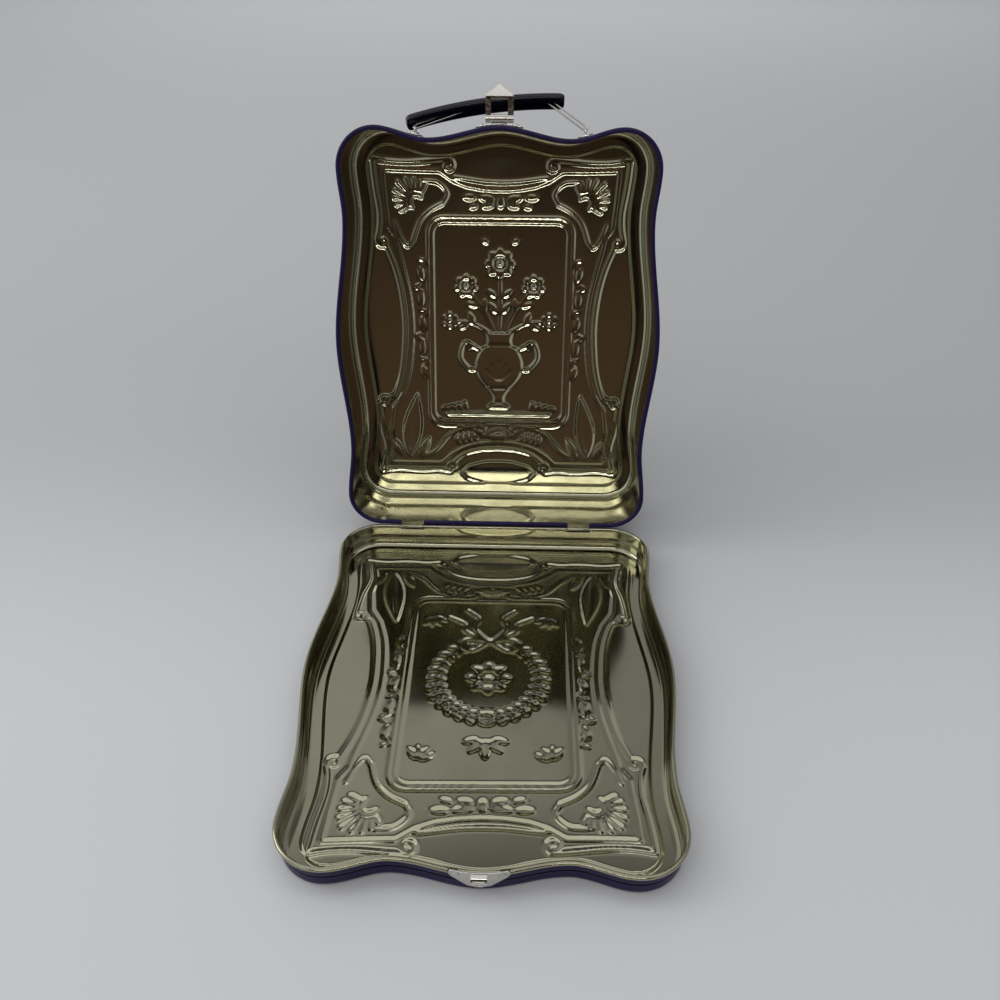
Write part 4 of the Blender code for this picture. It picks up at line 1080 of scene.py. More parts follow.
@dataclass
class CaseHalf:
    """What the two halves share: the drawn, embossed face with its skirt and fold."""

    name: str
    body: str
    depth: float
    wall_out: float
    picture: Picture
    place: Place
    outline: ScrollOutline
    finishes: Finishes
    sizes: CaseSizes = field(default_factory=CaseSizes)
    inner_grid: tuple[int, int] = (228, 290)
    outer_grid: tuple[int, int] = (112, 142)
    fold_steps: int = 6
    path_points: int = 760

    def face(self) -> Piece:
        """Makes the face: inside lacquered and finely pressed, outside printed."""
        design = FaceDesign(self.picture).build()
        book = MeshBook()
        clear, support = 0.1, 0.4
        edge = self.depth - self.sizes.seam_depth + clear
        turn = self.depth - self.sizes.fold
        centre = (self.wall_out - self.sizes.fold, turn)
        ends = []
        for radius, grid, skin, lift in (
                (self.sizes.fold, self.outer_grid, Skin.PRINT, 0.0),
                (self.sizes.fold - self.sizes.sheet, self.inner_grid, Skin.LACQUER, self.sizes.sheet)):
            # The second row, close to the fold, keeps the skirt's shading flat
            rows = [(centre[0] + radius, edge, skin), (centre[0] + radius, turn - support, skin)]
            rows += arc_rows(centre, radius, 0.0, 90.0, self.fold_steps, skin)
            loops = []
            for o, w, _ in rows[:-1]:
                loop = self._loop(o, grid)
                first = book.add_points(self.place(loop[:, 0], loop[:, 1], np.full(len(loop), w)))
                loops.append(np.arange(first, first + len(loop)))
            loops.append(self._field(book, design, grid, lift, skin))
            for a, b in zip(loops, loops[1:]):
                book.bridge(a, b, skin.value)
            ends.append(loops[0])
        book.bridge(ends[0], ends[1], Skin.LACQUER.value)
        piece = book.build(f"{self.name}_face", self.finishes.tinplate(), sharp=80.0)
        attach(piece, self.body)
        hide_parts(f"{self.name}_panel")
        return piece

    def _edges(self, offset: float, grid: tuple[int, int]) -> list[Points]:
        """The four sides of an offset outline, evenly spaced for a grid's cells across and along."""
        hinge, right, latch, left = self.outline.sides(offset)
        across, along = grid
        return [even_row(hinge, across + 1), even_row(right, along + 1),
                even_row(latch, across + 1), even_row(left, along + 1)]

    def _loop(self, offset: float, grid: tuple[int, int]) -> Points:
        """An offset outline as one loop that matches a field grid's border."""
        hinge, right, latch, left = self._edges(offset, grid)
        return np.vstack([hinge[:-1], right[:-1], latch[::-1][:-1], left[::-1][:-1]])

    def _field(self, book: MeshBook, design: Emboss, grid: tuple[int, int], lift: float,
               skin: Skin) -> Points:
        """Adds the flat ring and the pressed field as one grid.

        Args:
            book: Where the mesh is collected.
            design: The relief.
            grid: Cells across and along.
            lift: How far the surface lies behind the outer one.
            skin: Its finish.

        Returns:
            The border's vertex numbers, as a loop.
        """
        hinge, right, latch, left = self._edges(self.wall_out - self.sizes.fold, grid)
        across, along = grid
        s = np.linspace(0.0, 1.0, across + 1)[None, :, None]
        t = np.linspace(0.0, 1.0, along + 1)[:, None, None]
        flat = ((1 - t) * hinge[None] + t * latch[None] + (1 - s) * left[:, None] + s * right[:, None]
                - (1 - s) * (1 - t) * hinge[0] - s * (1 - t) * hinge[-1]
                - (1 - s) * t * latch[0] - s * t * latch[-1])
        border = np.vstack([hinge[:-1], right[:-1], latch[::-1][:-1], left[::-1][:-1]])
        points = flat.reshape(-1, 2)
        # Every third point of the border is fine enough to measure from
        inset = Emboss.distance(points, np.vstack([border[::3], border[:1]]))
        drop = Emboss.ease((inset - self.sizes.ring) / self.sizes.ring_slope) * self.sizes.recess
        raised = self._soften(design.height(self.drawn(flat))).reshape(-1)
        # No relief stands out past the ring that the half lies on
        w = self.depth - lift - np.maximum(drop - raised, 0.0)
        first = book.add_points(self.place(points[:, 0], points[:, 1], w), raised / Emboss.FULL)
        number = np.arange(first, first + len(points)).reshape(along + 1, across + 1)
        cells = np.stack([number[:-1, :-1], number[:-1, 1:], number[1:, 1:], number[1:, :-1]], axis=-1)
        book.add_faces(cells, skin.value)
        return np.concatenate([
            number[0, :-1], number[:-1, -1], number[-1, ::-1][:-1], number[::-1, 0][:-1]])

    def drawn(self, flat: Points) -> Points:
        """Turns places on the face to design coordinates, here the same."""
        return flat

    @staticmethod
    def _soften(height: Points) -> Points:
        """Evens a height field over neighbouring cells, as a drawn sheet bridges small steps.

        Args:
            height: The field, along and across.

        Returns:
            The evened field.
        """
        for axis in (0, 1):
            padded = np.pad(height, [(1, 1) if k == axis else (0, 0) for k in (0, 1)], mode="edge")
            count = height.shape[axis]
            before, here, after = (np.take(padded, np.arange(k, k + count), axis=axis) for k in (0, 1, 2))
            height = before / 4 + here / 2 + after / 4
        return height

    def seam_rows(self, low: float) -> tuple[list[SectionRow], ...]:
        """Section rows of the band's flat wall, down to its end under the face's skirt.

        Rows close to each bend keep the shading of the flats between them flat.

        Args:
            low: The depth where the wall starts.

        Returns:
            The outer rows and the inner rows.
        """
        seam = self.depth - self.sizes.seam_depth
        end = seam + self.sizes.seam_lap
        out = self.wall_out
        low_out = out - self.sizes.step
        inside, low_inside = out - self.sizes.sheet, low_out - self.sizes.sheet
        outer = [(out, low), (out, seam - 1.6), (out, seam - 0.8), (low_out, seam + 0.2),
                 (low_out, seam + 0.7)]
        inner = [(low_inside, end), (low_inside, seam + 0.5), (low_inside, seam),
                 (inside, seam - 1.0), (inside, seam - 1.8), (inside, low)]
        return ([(*row, Skin.PRINT) for row in outer] + [(low_out, end, Skin.LACQUER)],
                [(*row, Skin.LACQUER) for row in inner])


@dataclass
class DeepShell(CaseHalf):
    """The standing half: its band has an inward bead, a lap seam and two hinge tongues."""

    bead: float = 1.3
    fit: float = 0.3
    side_seam_at: float = 9.5
    side_seam_half: float = 1.9
    side_seam_in: float = 0.28
    side_seam_past: float = -60.0
    bead_steps: int = 18
    tongue_ring: float = 0.9
    tongue_sheet: float = 0.36
    tongue_turn: Pair = (172.0, 400.0)
    tongue_foot: Triple = (5.6, 3.2, 2.2)
    tongue_round: float = 0.1

    def band(self) -> Piece:
        """Makes the band with its bead, cut at the tongues."""
        outer, inner = self.seam_rows(2.0 * self.bead + 2 * self.fit)
        meet = math.degrees(math.acos((self.bead - self.sizes.sheet) / self.bead))
        rows = arc_rows(
            (-self.bead, self.bead), self.bead, meet - 360.0, 0.0, self.bead_steps, Skin.PRINT)
        section = rows + outer + inner
        path, normals = self.outline.resampled(self.path_points)
        start = len(rows) + len(outer)
        # The band's own two ends lap inside, round the left corner next to the hinge
        seam = np.abs(path[:, 1] - self.side_seam_at) < self.side_seam_half
        seam &= path[:, 0] < self.side_seam_past

        def lap(k: int, reach: Points) -> Points:
            """Draws the inner rows in where the band's ends lap."""
            return np.where(seam & (k >= start), reach - self.side_seam_in, reach)

        piece = sweep(self.place, path, normals, section, lap).build(
            f"{self.name}_wall", self.finishes.tinplate(), sharp=50.0)
        out, thick, rim = self.sizes.axis_out, 2 * self.bead, self.sizes.rim_below
        half = self.sizes.tab_width / 2 + self.fit
        boxes = []
        for side in (-1, 1):
            middle = side * self.sizes.tab_at
            boxes.append(frame_box(
                f"bead_gap_{side}",
                (middle - half, -(out + thick + self.sizes.clear), -rim - self.sizes.clear),
                (middle + half, -out + self.fit, -rim + thick + self.fit),
                self.sizes.shell_frame(), self.finishes.lacquer))
        cut_away(piece, boxes)
        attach(piece, self.body)
        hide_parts("deep_band")
        return piece

    def tongues(self) -> Piece:
        """Makes the two tongues that curl round the hinge wire."""
        wall_y = -(self.sizes.axis_out + self.sizes.sheet / 2)
        angles = np.radians(np.linspace(*self.tongue_turn, 26))
        line = [(wall_y, z) for z in self.tongue_foot]
        line += [(self.tongue_ring * math.cos(a), self.tongue_ring * math.sin(a)) for a in angles]
        half = self.sizes.tab_width / 2
        strips = []
        for side in (-1, 1):
            middle = side * self.sizes.tab_at
            strips.append(strip("tongue", line, self.tongue_sheet, middle - half, middle + half,
                                self.finishes.lacquer, bevel=self.tongue_round))
        piece = join("hinge_tongues", strips)
        piece.data.transform(self.sizes.shell_frame())
        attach(piece, self.body)
        return piece


@dataclass
class ShallowLid(CaseHalf):
    """The lying half: its band has an outward curl, notched at the hinge and at the keeper."""

    keeper_width: float = 25.2
    keeper_gap: float = 0.45
    keeper_room: Pair = (8.0, 2.4)
    notch_fit: float = 0.6
    curl_end: float = 105.0
    curl_steps: int = 14
    # How the press left the design: wide by spread at half of spread_span, aside, and, growing
    # towards the latch, forward and askew
    spread: float = 1.3
    spread_span: float = 87.0
    aside: float = 0.3
    forward: float = 0.45
    askew: float = 2.45
    design_half: float = 75.6
    design_end: float = 208.0

    def drawn(self, flat: Points) -> Points:
        """Turns places on the lid to design coordinates, as the press left them wide and askew.

        Args:
            flat: Points in u and v.

        Returns:
            Where each lies in the design.
        """
        u, v = flat[..., 0], flat[..., 1]
        out = self.spread * np.sin(math.pi * u / self.spread_span) - self.aside
        along = (self.forward - self.askew * u / self.design_half) * (v / self.design_end) ** 2
        return np.stack([u - out, v - along], axis=-1)

    def band(self) -> Piece:
        """Makes the band with its curl."""
        curl, end, steps = self.sizes.curl, self.curl_end, self.curl_steps
        outer, inner = self.seam_rows(2.0 * curl)
        centre = (self.sizes.axis_out, curl)
        out_rows = arc_rows(centre, curl, -180.0, end, steps, Skin.LACQUER)
        in_rows = arc_rows(centre, curl - self.sizes.sheet, end, -180.0, steps, Skin.LACQUER)
        in_rows[-1] = (*in_rows[-1][:2], Skin.PRINT)
        section = inner + out_rows + in_rows + outer
        path, normals = self.outline.resampled(self.path_points)
        piece = sweep(self.place, path, normals, section).build(
            f"{self.name}_wall", self.finishes.tinplate(), sharp=50.0)
        shift = self.sizes.lid_frame()
        room = curl + self.sizes.sheet
        half = self.sizes.tab_width / 2 + self.notch_fit
        boxes = []
        for side in (-1, 1):
            middle = side * self.sizes.tab_at
            boxes.append(frame_box(f"curl_notch_{side}", (middle - half, -room, -room),
                                   (middle + half, 2 * room, 2 * room), shift, self.finishes.lacquer))
        half = (self.keeper_width + self.notch_fit) / 2
        wall = self.outline.latch_wall(np.array([half]))[0][0] + self.wall_out + self.sizes.axis_out
        back, (deep, high) = wall + self.keeper_gap, self.keeper_room
        boxes.append(frame_box("keeper_notch", (-half, -(back + deep), -self.sizes.clear),
                               (half, -back, high), shift, self.finishes.lacquer))
        cut_away(piece, boxes)
        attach(piece, self.body)
        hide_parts("lid_band")
        return piece


def strip(name: str, line: Sequence[Pair], thick: float, low: float, high: float,
          material: Finish, bevel: float = 0.0) -> Piece:
    """A bent strip: its side profile in y and z pressed out along x, in millimetres.

    Args:
        name: The piece's name.
        line: Its centre line.
        thick: Its thickness.
        low: Lower end along x.
        high: Upper end along x.
        material: Its finish.
        bevel: Width of its rounded edges.

    Returns:
        The strip in its own frame, in metres.
    """
    p = np.array(line, float)
    along = np.gradient(p, axis=0)
    along /= np.linalg.norm(along, axis=1)[:, None]
    across = np.stack([-along[:, 1], along[:, 0]], axis=1) * thick / 2
    profile = np.vstack([p + across, (p - across)[::-1]])
    count = len(profile)
    verts = [(low, *q) for q in profile.tolist()] + [(high, *q) for q in profile.tolist()]
    half = count // 2
    faces = []
    for i in range(count):
        j = (i + 1) % count
        faces.append((i, j, count + j, count + i))
    for i in range(half - 1):
        a, b, c, d = i, i + 1, count - 2 - i, count - 1 - i
        faces.append((d, c, b, a))
        faces.append((count + a, count + b, count + c, count + d))
    return solid(name, verts, faces, material, bevel)


def round_edges(mesh: bpy.types.Mesh, width: float, past: float = 40.0) -> None:
    """Rounds the sharp edges of a mesh.

    Args:
        mesh: The closed mesh.
        width: How wide the rounding is, in millimetres.
        past: Edges past this many degrees are rounded.
    """
    work = bmesh.new()
    work.from_mesh(mesh)
    edges = [edge for edge in work.edges
             if len(edge.link_faces) == 2 and edge.calc_face_angle(0.0) > math.radians(past)]
    bmesh.ops.bevel(work, geom=edges, offset=width * MM, segments=2, profile=0.5, affect="EDGES",
                    clamp_overlap=True)
    work.to_mesh(mesh)
    work.free()


def join(name: str, pieces: Sequence[Piece]) -> Piece:
    """Puts several objects' meshes into one object.

    Args:
        name: Its name.
        pieces: The objects, which are removed; the first one's materials stay.

    Returns:
        The joined object.
    """
    work = bmesh.new()
    for piece in pieces:
        work.from_mesh(piece.data)
    mesh = bpy.data.meshes.new(name)
    work.to_mesh(mesh)
    work.free()
    for material in pieces[0].data.materials:
        mesh.materials.append(material)
    for piece in pieces:
        bpy.data.objects.remove(piece, do_unlink=True)
    return placed(name, mesh)


@dataclass
class RoundWire:
    """Geometry Nodes that draw round wire along paths, with flat ends on open ones."""

    material: Finish
    sides: int = 16

    def tree(self) -> tuple[NodeTree, str, str]:
        """Builds the node tree.

        Returns:
            The tree and the identifiers of its radius and sides inputs.
        """
        tree = bpy.data.node_groups.new("round_wire", "GeometryNodeTree")
        tree.interface.new_socket("Paths", in_out="INPUT", socket_type="NodeSocketGeometry")
        radius = tree.interface.new_socket("Wire radius", in_out="INPUT", socket_type="NodeSocketFloat")
        sides = tree.interface.new_socket("Sides", in_out="INPUT", socket_type="NodeSocketInt")
        tree.interface.new_socket("Wire", in_out="OUTPUT", socket_type="NodeSocketGeometry")
        given = node(tree, "NodeGroupInput")
        profile = node(tree, "GeometryNodeCurvePrimitiveCircle", {
            "Resolution": given.outputs["Sides"], "Radius": given.outputs["Wire radius"]})
        curve = node(tree, "GeometryNodeMeshToCurve", {"Mesh": given.outputs["Paths"]})
        drawn = node(tree, "GeometryNodeCurveToMesh", {
            "Curve": curve.outputs["Curve"], "Profile Curve": profile.outputs["Curve"],
            "Fill Caps": True})
        real = node(tree, "GeometryNodeRealizeInstances", {"Geometry": drawn.outputs["Mesh"]})
        dressed = node(tree, "GeometryNodeSetMaterial", {
            "Geometry": real.outputs["Geometry"], "Material": self.material})
        node(tree, "NodeGroupOutput", {"Wire": dressed.outputs["Geometry"]})
        return tree, radius.identifier, sides.identifier

    def draw(self, name: str, paths: Sequence[tuple[Points, bool]], radius: float,
             place: Matrix) -> Piece:
        """Draws wire along paths.

        Args:
            name: The piece's name.
            paths: Points in millimetres, and whether the path closes on itself.
            radius: The wire's radius in millimetres.
            place: The frame that the points are in.

        Returns:
            A plain mesh object in the shared frame.
        """
        verts, edges = [], []
        for points, closed in paths:
            first, count = len(verts), len(points)
            verts += (np.asarray(points) * MM).tolist()
            edges += [(first + i, first + i + 1) for i in range(count - 1)]
            edges += [(first + count - 1, first)] if closed else []
        mesh = bpy.data.meshes.new(name)
        mesh.from_pydata(verts, edges, [])
        made = placed(name, mesh)
        step = made.modifiers.new("round_wire", "NODES")
        tree, radius_input, sides_input = self.tree()
        step.node_group = tree
        step[radius_input] = radius * MM
        step[sides_input] = self.sides
        return settle(made, place)


@dataclass
class RivetHeads:
    """Geometry Nodes that set a domed head on every point, facing as the point says."""

    material: Finish
    radius: float = 1.5
    rise: float = 1.0

    def tree(self) -> tuple[NodeTree, str, str]:
        """Builds the node tree.

        Returns:
            The tree and the identifiers of its radius and rise inputs.
        """
        tree = bpy.data.node_groups.new("rivet_heads", "GeometryNodeTree")
        tree.interface.new_socket("Spots", in_out="INPUT", socket_type="NodeSocketGeometry")
        radius = tree.interface.new_socket("Head radius", in_out="INPUT", socket_type="NodeSocketFloat")
        rise = tree.interface.new_socket("Head rise", in_out="INPUT", socket_type="NodeSocketFloat")
        tree.interface.new_socket("Heads", in_out="OUTPUT", socket_type="NodeSocketGeometry")
        given = node(tree, "NodeGroupInput")
        ball = node(tree, "GeometryNodeMeshUVSphere", {"Segments": 28, "Rings": 14, "Radius": 1.0})
        size = node(tree, "ShaderNodeCombineXYZ", {
            "X": given.outputs["Head radius"], "Y": given.outputs["Head radius"],
            "Z": given.outputs["Head rise"]})
        facing = node(tree, "GeometryNodeInputNamedAttribute", {"Name": "facing"},
                      data_type="FLOAT_VECTOR")
        turn = node(tree, "FunctionNodeAlignRotationToVector", {"Vector": facing.outputs[0]}, axis="Z")
        heads = node(tree, "GeometryNodeInstanceOnPoints", {
            "Points": given.outputs["Spots"], "Instance": ball.outputs["Mesh"],
            "Rotation": turn.outputs[0], "Scale": size.outputs[0]})
        real = node(tree, "GeometryNodeRealizeInstances", {"Geometry": heads.outputs["Instances"]})
        dressed = node(tree, "GeometryNodeSetMaterial", {
            "Geometry": real.outputs["Geometry"], "Material": self.material})
        node(tree, "NodeGroupOutput", {"Heads": dressed.outputs["Geometry"]})
        return tree, radius.identifier, rise.identifier

    def drive(self, name: str, spots: Points, facing: Points, place: Matrix) -> Piece:
        """Sets the heads.

        Args:
            name: The piece's name.
            spots: Centres on the plates, in millimetres.
            facing: Which way each head faces.
            place: The frame that they are in.

        Returns:
            A plain mesh object in the shared frame.
        """
        mesh = bpy.data.meshes.new(name)
        mesh.from_pydata((spots * MM).tolist(), [], [])
        attribute = mesh.attributes.new("facing", "FLOAT_VECTOR", "POINT")
        attribute.data.foreach_set("vector", facing.astype(np.float32).reshape(-1))
        made = placed(name, mesh)
        tree, radius_input, rise_input = self.tree()
        step = made.modifiers.new("rivet_heads", "NODES")
        step.node_group = tree
        step[radius_input] = self.radius * MM
        step[rise_input] = self.rise * MM
        return settle(made, place)


def settle(made: Piece, place: Matrix, sharp: float = 50.0) -> Piece:
    """Turns what an object's modifiers make into its plain mesh.

    Args:
        made: The object.
        place: The frame that it was made in.
        sharp: Edges past this many degrees stay sharp.

    Returns:
        The same object, in the shared frame.
    """
    graph = bpy.context.evaluated_depsgraph_get()
    mesh = bpy.data.meshes.new_from_object(made.evaluated_get(graph))
    made.modifiers.clear()
    mesh.transform(place)
    MeshBook.close(mesh)
    shade(mesh, sharp)
    mesh.name = made.name
    made.data = mesh
    return made


def ribbon(name: str, rows: Sequence[tuple[float, Pair, Pair]],
           material: Finish, bevel: float) -> Piece:
    """A sheet whose width changes along its length.

    Args:
        name: The piece's name.
        rows: Half width, then the y and z of its two faces, in millimetres.
        material: Its finish.
        bevel: Width of its rounded edges.

    Returns:
        The sheet in its own frame, in metres.
    """
    verts = []
    for wide, first, second in rows:
        verts += [(-wide, *first), (wide, *first), (wide, *second), (-wide, *second)]
    return solid(name, verts, tube_faces(len(rows), 4), material, bevel)


def solid(name: str, verts: Sequence, faces: Sequence, material: Finish,
          bevel: float = 0.0, sharp: float = 50.0) -> Piece:
    """A closed mesh object.

    Args:
        name: Its name.
        verts: Its points, in millimetres.
        faces: The numbers of each face's corners.
        material: Its finish.
        bevel: Width of its rounded edges.
        sharp: Edges past this many degrees stay sharp.

    Returns:
        The object in its own frame, in metres.
    """
    mesh = bpy.data.meshes.new(name)
    mesh.from_pydata((np.array(verts, float) * MM).tolist(), [], faces)
    mesh.materials.append(material)
    MeshBook.close(mesh)
    if bevel > 0.0:
        round_edges(mesh, bevel)
    shade(mesh, sharp)
    return placed(name, mesh)


@dataclass
class WallPlate:
    """A stamped plate that follows the latch-side wall of a half."""

    outline: ScrollOutline
    material: Finish
    sizes: CaseSizes
    columns: int = 44

    def build(self, name: str, half: float, middle: float, back: float, front: float,
              span: Callable[[float], Pair]) -> Piece:
        """Makes the plate in the lid's or shell's own frame.

        Args:
            name: The piece's name.
            half: Half its width.
            middle: Its middle, sideways.
            back: Its back's distance from the wall.
            front: Its front's distance from the wall.
            span: Low and high ends along z at a distance from its middle.

        Returns:
            The plate.
        """
        u = middle + np.linspace(-half, half, self.columns + 1)
        v, normal = self.outline.latch_wall(u)
        verts, faces = [], []
        for i in range(self.columns + 1):
            low, high = span(abs(float(u[i]) - middle))
            for out in (back, front):
                at = (u[i] + normal[i, 0] * out, -(v[i] + normal[i, 1] * out + self.sizes.axis_out))
                verts += [(*at, low), (*at, high)]
        for i in range(self.columns):
            a, b = 4 * i, 4 * i + 4
            faces += [(a + k, b + k, b + m, a + m) for k, m in ((0, 1), (1, 3), (3, 2), (2, 0))]
        end = 4 * self.columns
        faces += [(0, 1, 3, 2), (end, end + 1, end + 3, end + 2)]
        return solid(name, verts, faces, self.material, bevel=0.14)

    def spot(self, u: float, out: float) -> tuple[float, float, Points]:
        """Finds a point over the wall.

        Args:
            u: Its place sideways.
            out: Its distance from the wall.

        Returns:
            Its x and y in the half's own frame, and the wall's normal there.
        """
        v, normal = self.outline.latch_wall(np.array([u]))
        facing = np.array((normal[0, 0], -normal[0, 1], 0.0))
        return u + normal[0, 0] * out, -(v[0] + normal[0, 1] * out + self.sizes.axis_out), facing


def ride_as(piece: Piece, body: str, slot: str, *nodes: str) -> Piece:
    """Hands over a finished piece.

    Args:
        piece: The piece.
        body: The body that it moves with.
        slot: Its material slot; not used.
        *nodes: The solids that it stands for, if any.

    Returns:
        The same piece.
    """
    # Large flats lead the shading, so that they mirror as flats
    even = piece.modifiers.new("even_flats", "WEIGHTED_NORMAL")
    even.keep_sharp = True
    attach(piece, body)
    if nodes:
        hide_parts(*nodes)
    return piece


@dataclass
class Keeper:
    """The catch on the lid: a kite-shaped plate, its bowed nose, and the tangs that hold it."""

    outline: ScrollOutline
    finishes: Finishes
    sizes: CaseSizes
    width: float = 25.2
    height: float = 9.3
    end_height: float = 3.2
    foot: float = 9.0
    edge: float = 0.2
    back: float = 1.15
    sheet: float = 0.7
    nose_width: float = 6.8
    nose_reach: float = 2.6
    nose_tip: float = 6.0
    tang_at: float = 9.4
    tang_depth: float = 3.0
    tang_radius: float = 1.5
    corner: float = 0.9
    corner_slope: float = 0.7
    edge_round: float = 0.14
    bead_wire: float = 0.33

    # The nose from the side, as shares of its reach and its tip, and its width on the way down
    BOW = ((0.0, 0.16), (0.6, 0.3), (1.0, 0.55), (1.0, 0.75), (0.85, 0.9), (0.75, 0.98))
    WIDTHS = ((0.16, 1.0), (0.62, 1.0), (0.75, 0.92), (0.86, 0.7), (0.93, 0.48), (0.98, 0.2))

    def build(self) -> Piece:
        """Makes the keeper as one piece."""
        plates = WallPlate(self.outline, self.finishes.nickel, self.sizes)
        top = self.sizes.curl
        half = self.width / 2

        def span(away: float) -> Pair:
            """The kite's low and high ends, its outer corners rounded."""
            t = max(0.0, away - self.foot / 2) / (half - self.foot / 2)
            low = self.edge + self.height + (self.end_height - self.height) * t
            corner = max(0.0, away - half + self.corner) * self.corner_slope
            return top - low + corner, top - self.edge - corner

        front = self.back + self.sheet
        plate = plates.build("keeper", half, 0.0, self.back, front, span)
        crest = self.sizes.length + self.sizes.axis_out + self.back + self.sheet / 2
        bow = smooth_path(self.BOW, 6)
        width = np.interp(bow[:, 1], *zip(*self.WIDTHS))
        line = np.stack([-(crest + bow[:, 0] * self.nose_reach), top - bow[:, 1] * self.nose_tip], axis=1)
        along = np.gradient(line, axis=0)
        along /= np.linalg.norm(along, axis=1)[:, None]
        across = np.stack([-along[:, 1], along[:, 0]], axis=1) * self.sheet / 2
        rows = [(float(w) * self.nose_width / 2, tuple(p + a), tuple(p - a))
                for w, p, a in zip(width, line, across)]
        nose = ribbon("nose", rows, self.finishes.nickel, self.edge_round)
        piece = join("keeper", [plate, nose])
        piece.data.transform(self.sizes.lid_frame())
        beads = self._beads(plates, front, line, across)
        return ride_as(join("keeper", [piece, beads]), "lid", "plated_steel", "keeper_plate")

    def _beads(self, plates: WallPlate, front: float, line: Points, across: Points) -> Piece:
        """Makes the two half-round tangs, and the bar and the bow pressed on the nose.

        Args:
            plates: What knows the wall.
            front: The plate's front, from the wall.
            line: The nose's middle from the side.
            across: Half its thickness there.

        Returns:
            The beads as one piece.
        """
        top = self.sizes.curl
        paths = []
        for side in (-1, 1):
            arc = []
            for angle in np.radians(np.linspace(0.0, 180.0, 13)):
                u = side * self.tang_at + self.tang_radius * math.cos(angle)
                x, y, _ = plates.spot(u, front + 0.05)
                arc.append((x, y, top - self.tang_depth + self.tang_radius * math.sin(angle)))
            paths.append((np.array(arc), False))
        face = line + across * (1.0 if across[len(across) // 2, 0] < 0 else -1.0)
        order = np.argsort(face[:, 1])

        def on_nose(x: float, z: float) -> Triple:
            """A place just over the nose's front."""
            return x, float(np.interp(z, face[order, 1], face[order, 0])) - 0.1, z

        reach, tip = self.nose_width / 2, self.nose_tip
        bar = [on_nose(x, top - 0.42 * tip) for x in np.linspace(-0.72 * reach, 0.72 * reach, 7)]
        paths.append((np.array(bar), False))
        bow = []
        for angle in np.radians(np.linspace(180.0, 360.0, 17)):
            z = top + tip * (-0.66 + 0.2 * math.sin(angle))
            bow.append(on_nose(0.6 * reach * math.cos(angle), z))
        paths.append((np.array(bow), False))
        wire = RoundWire(self.finishes.nickel, sides=12)
        return wire.draw("beads", paths, self.bead_wire, self.sizes.lid_frame())


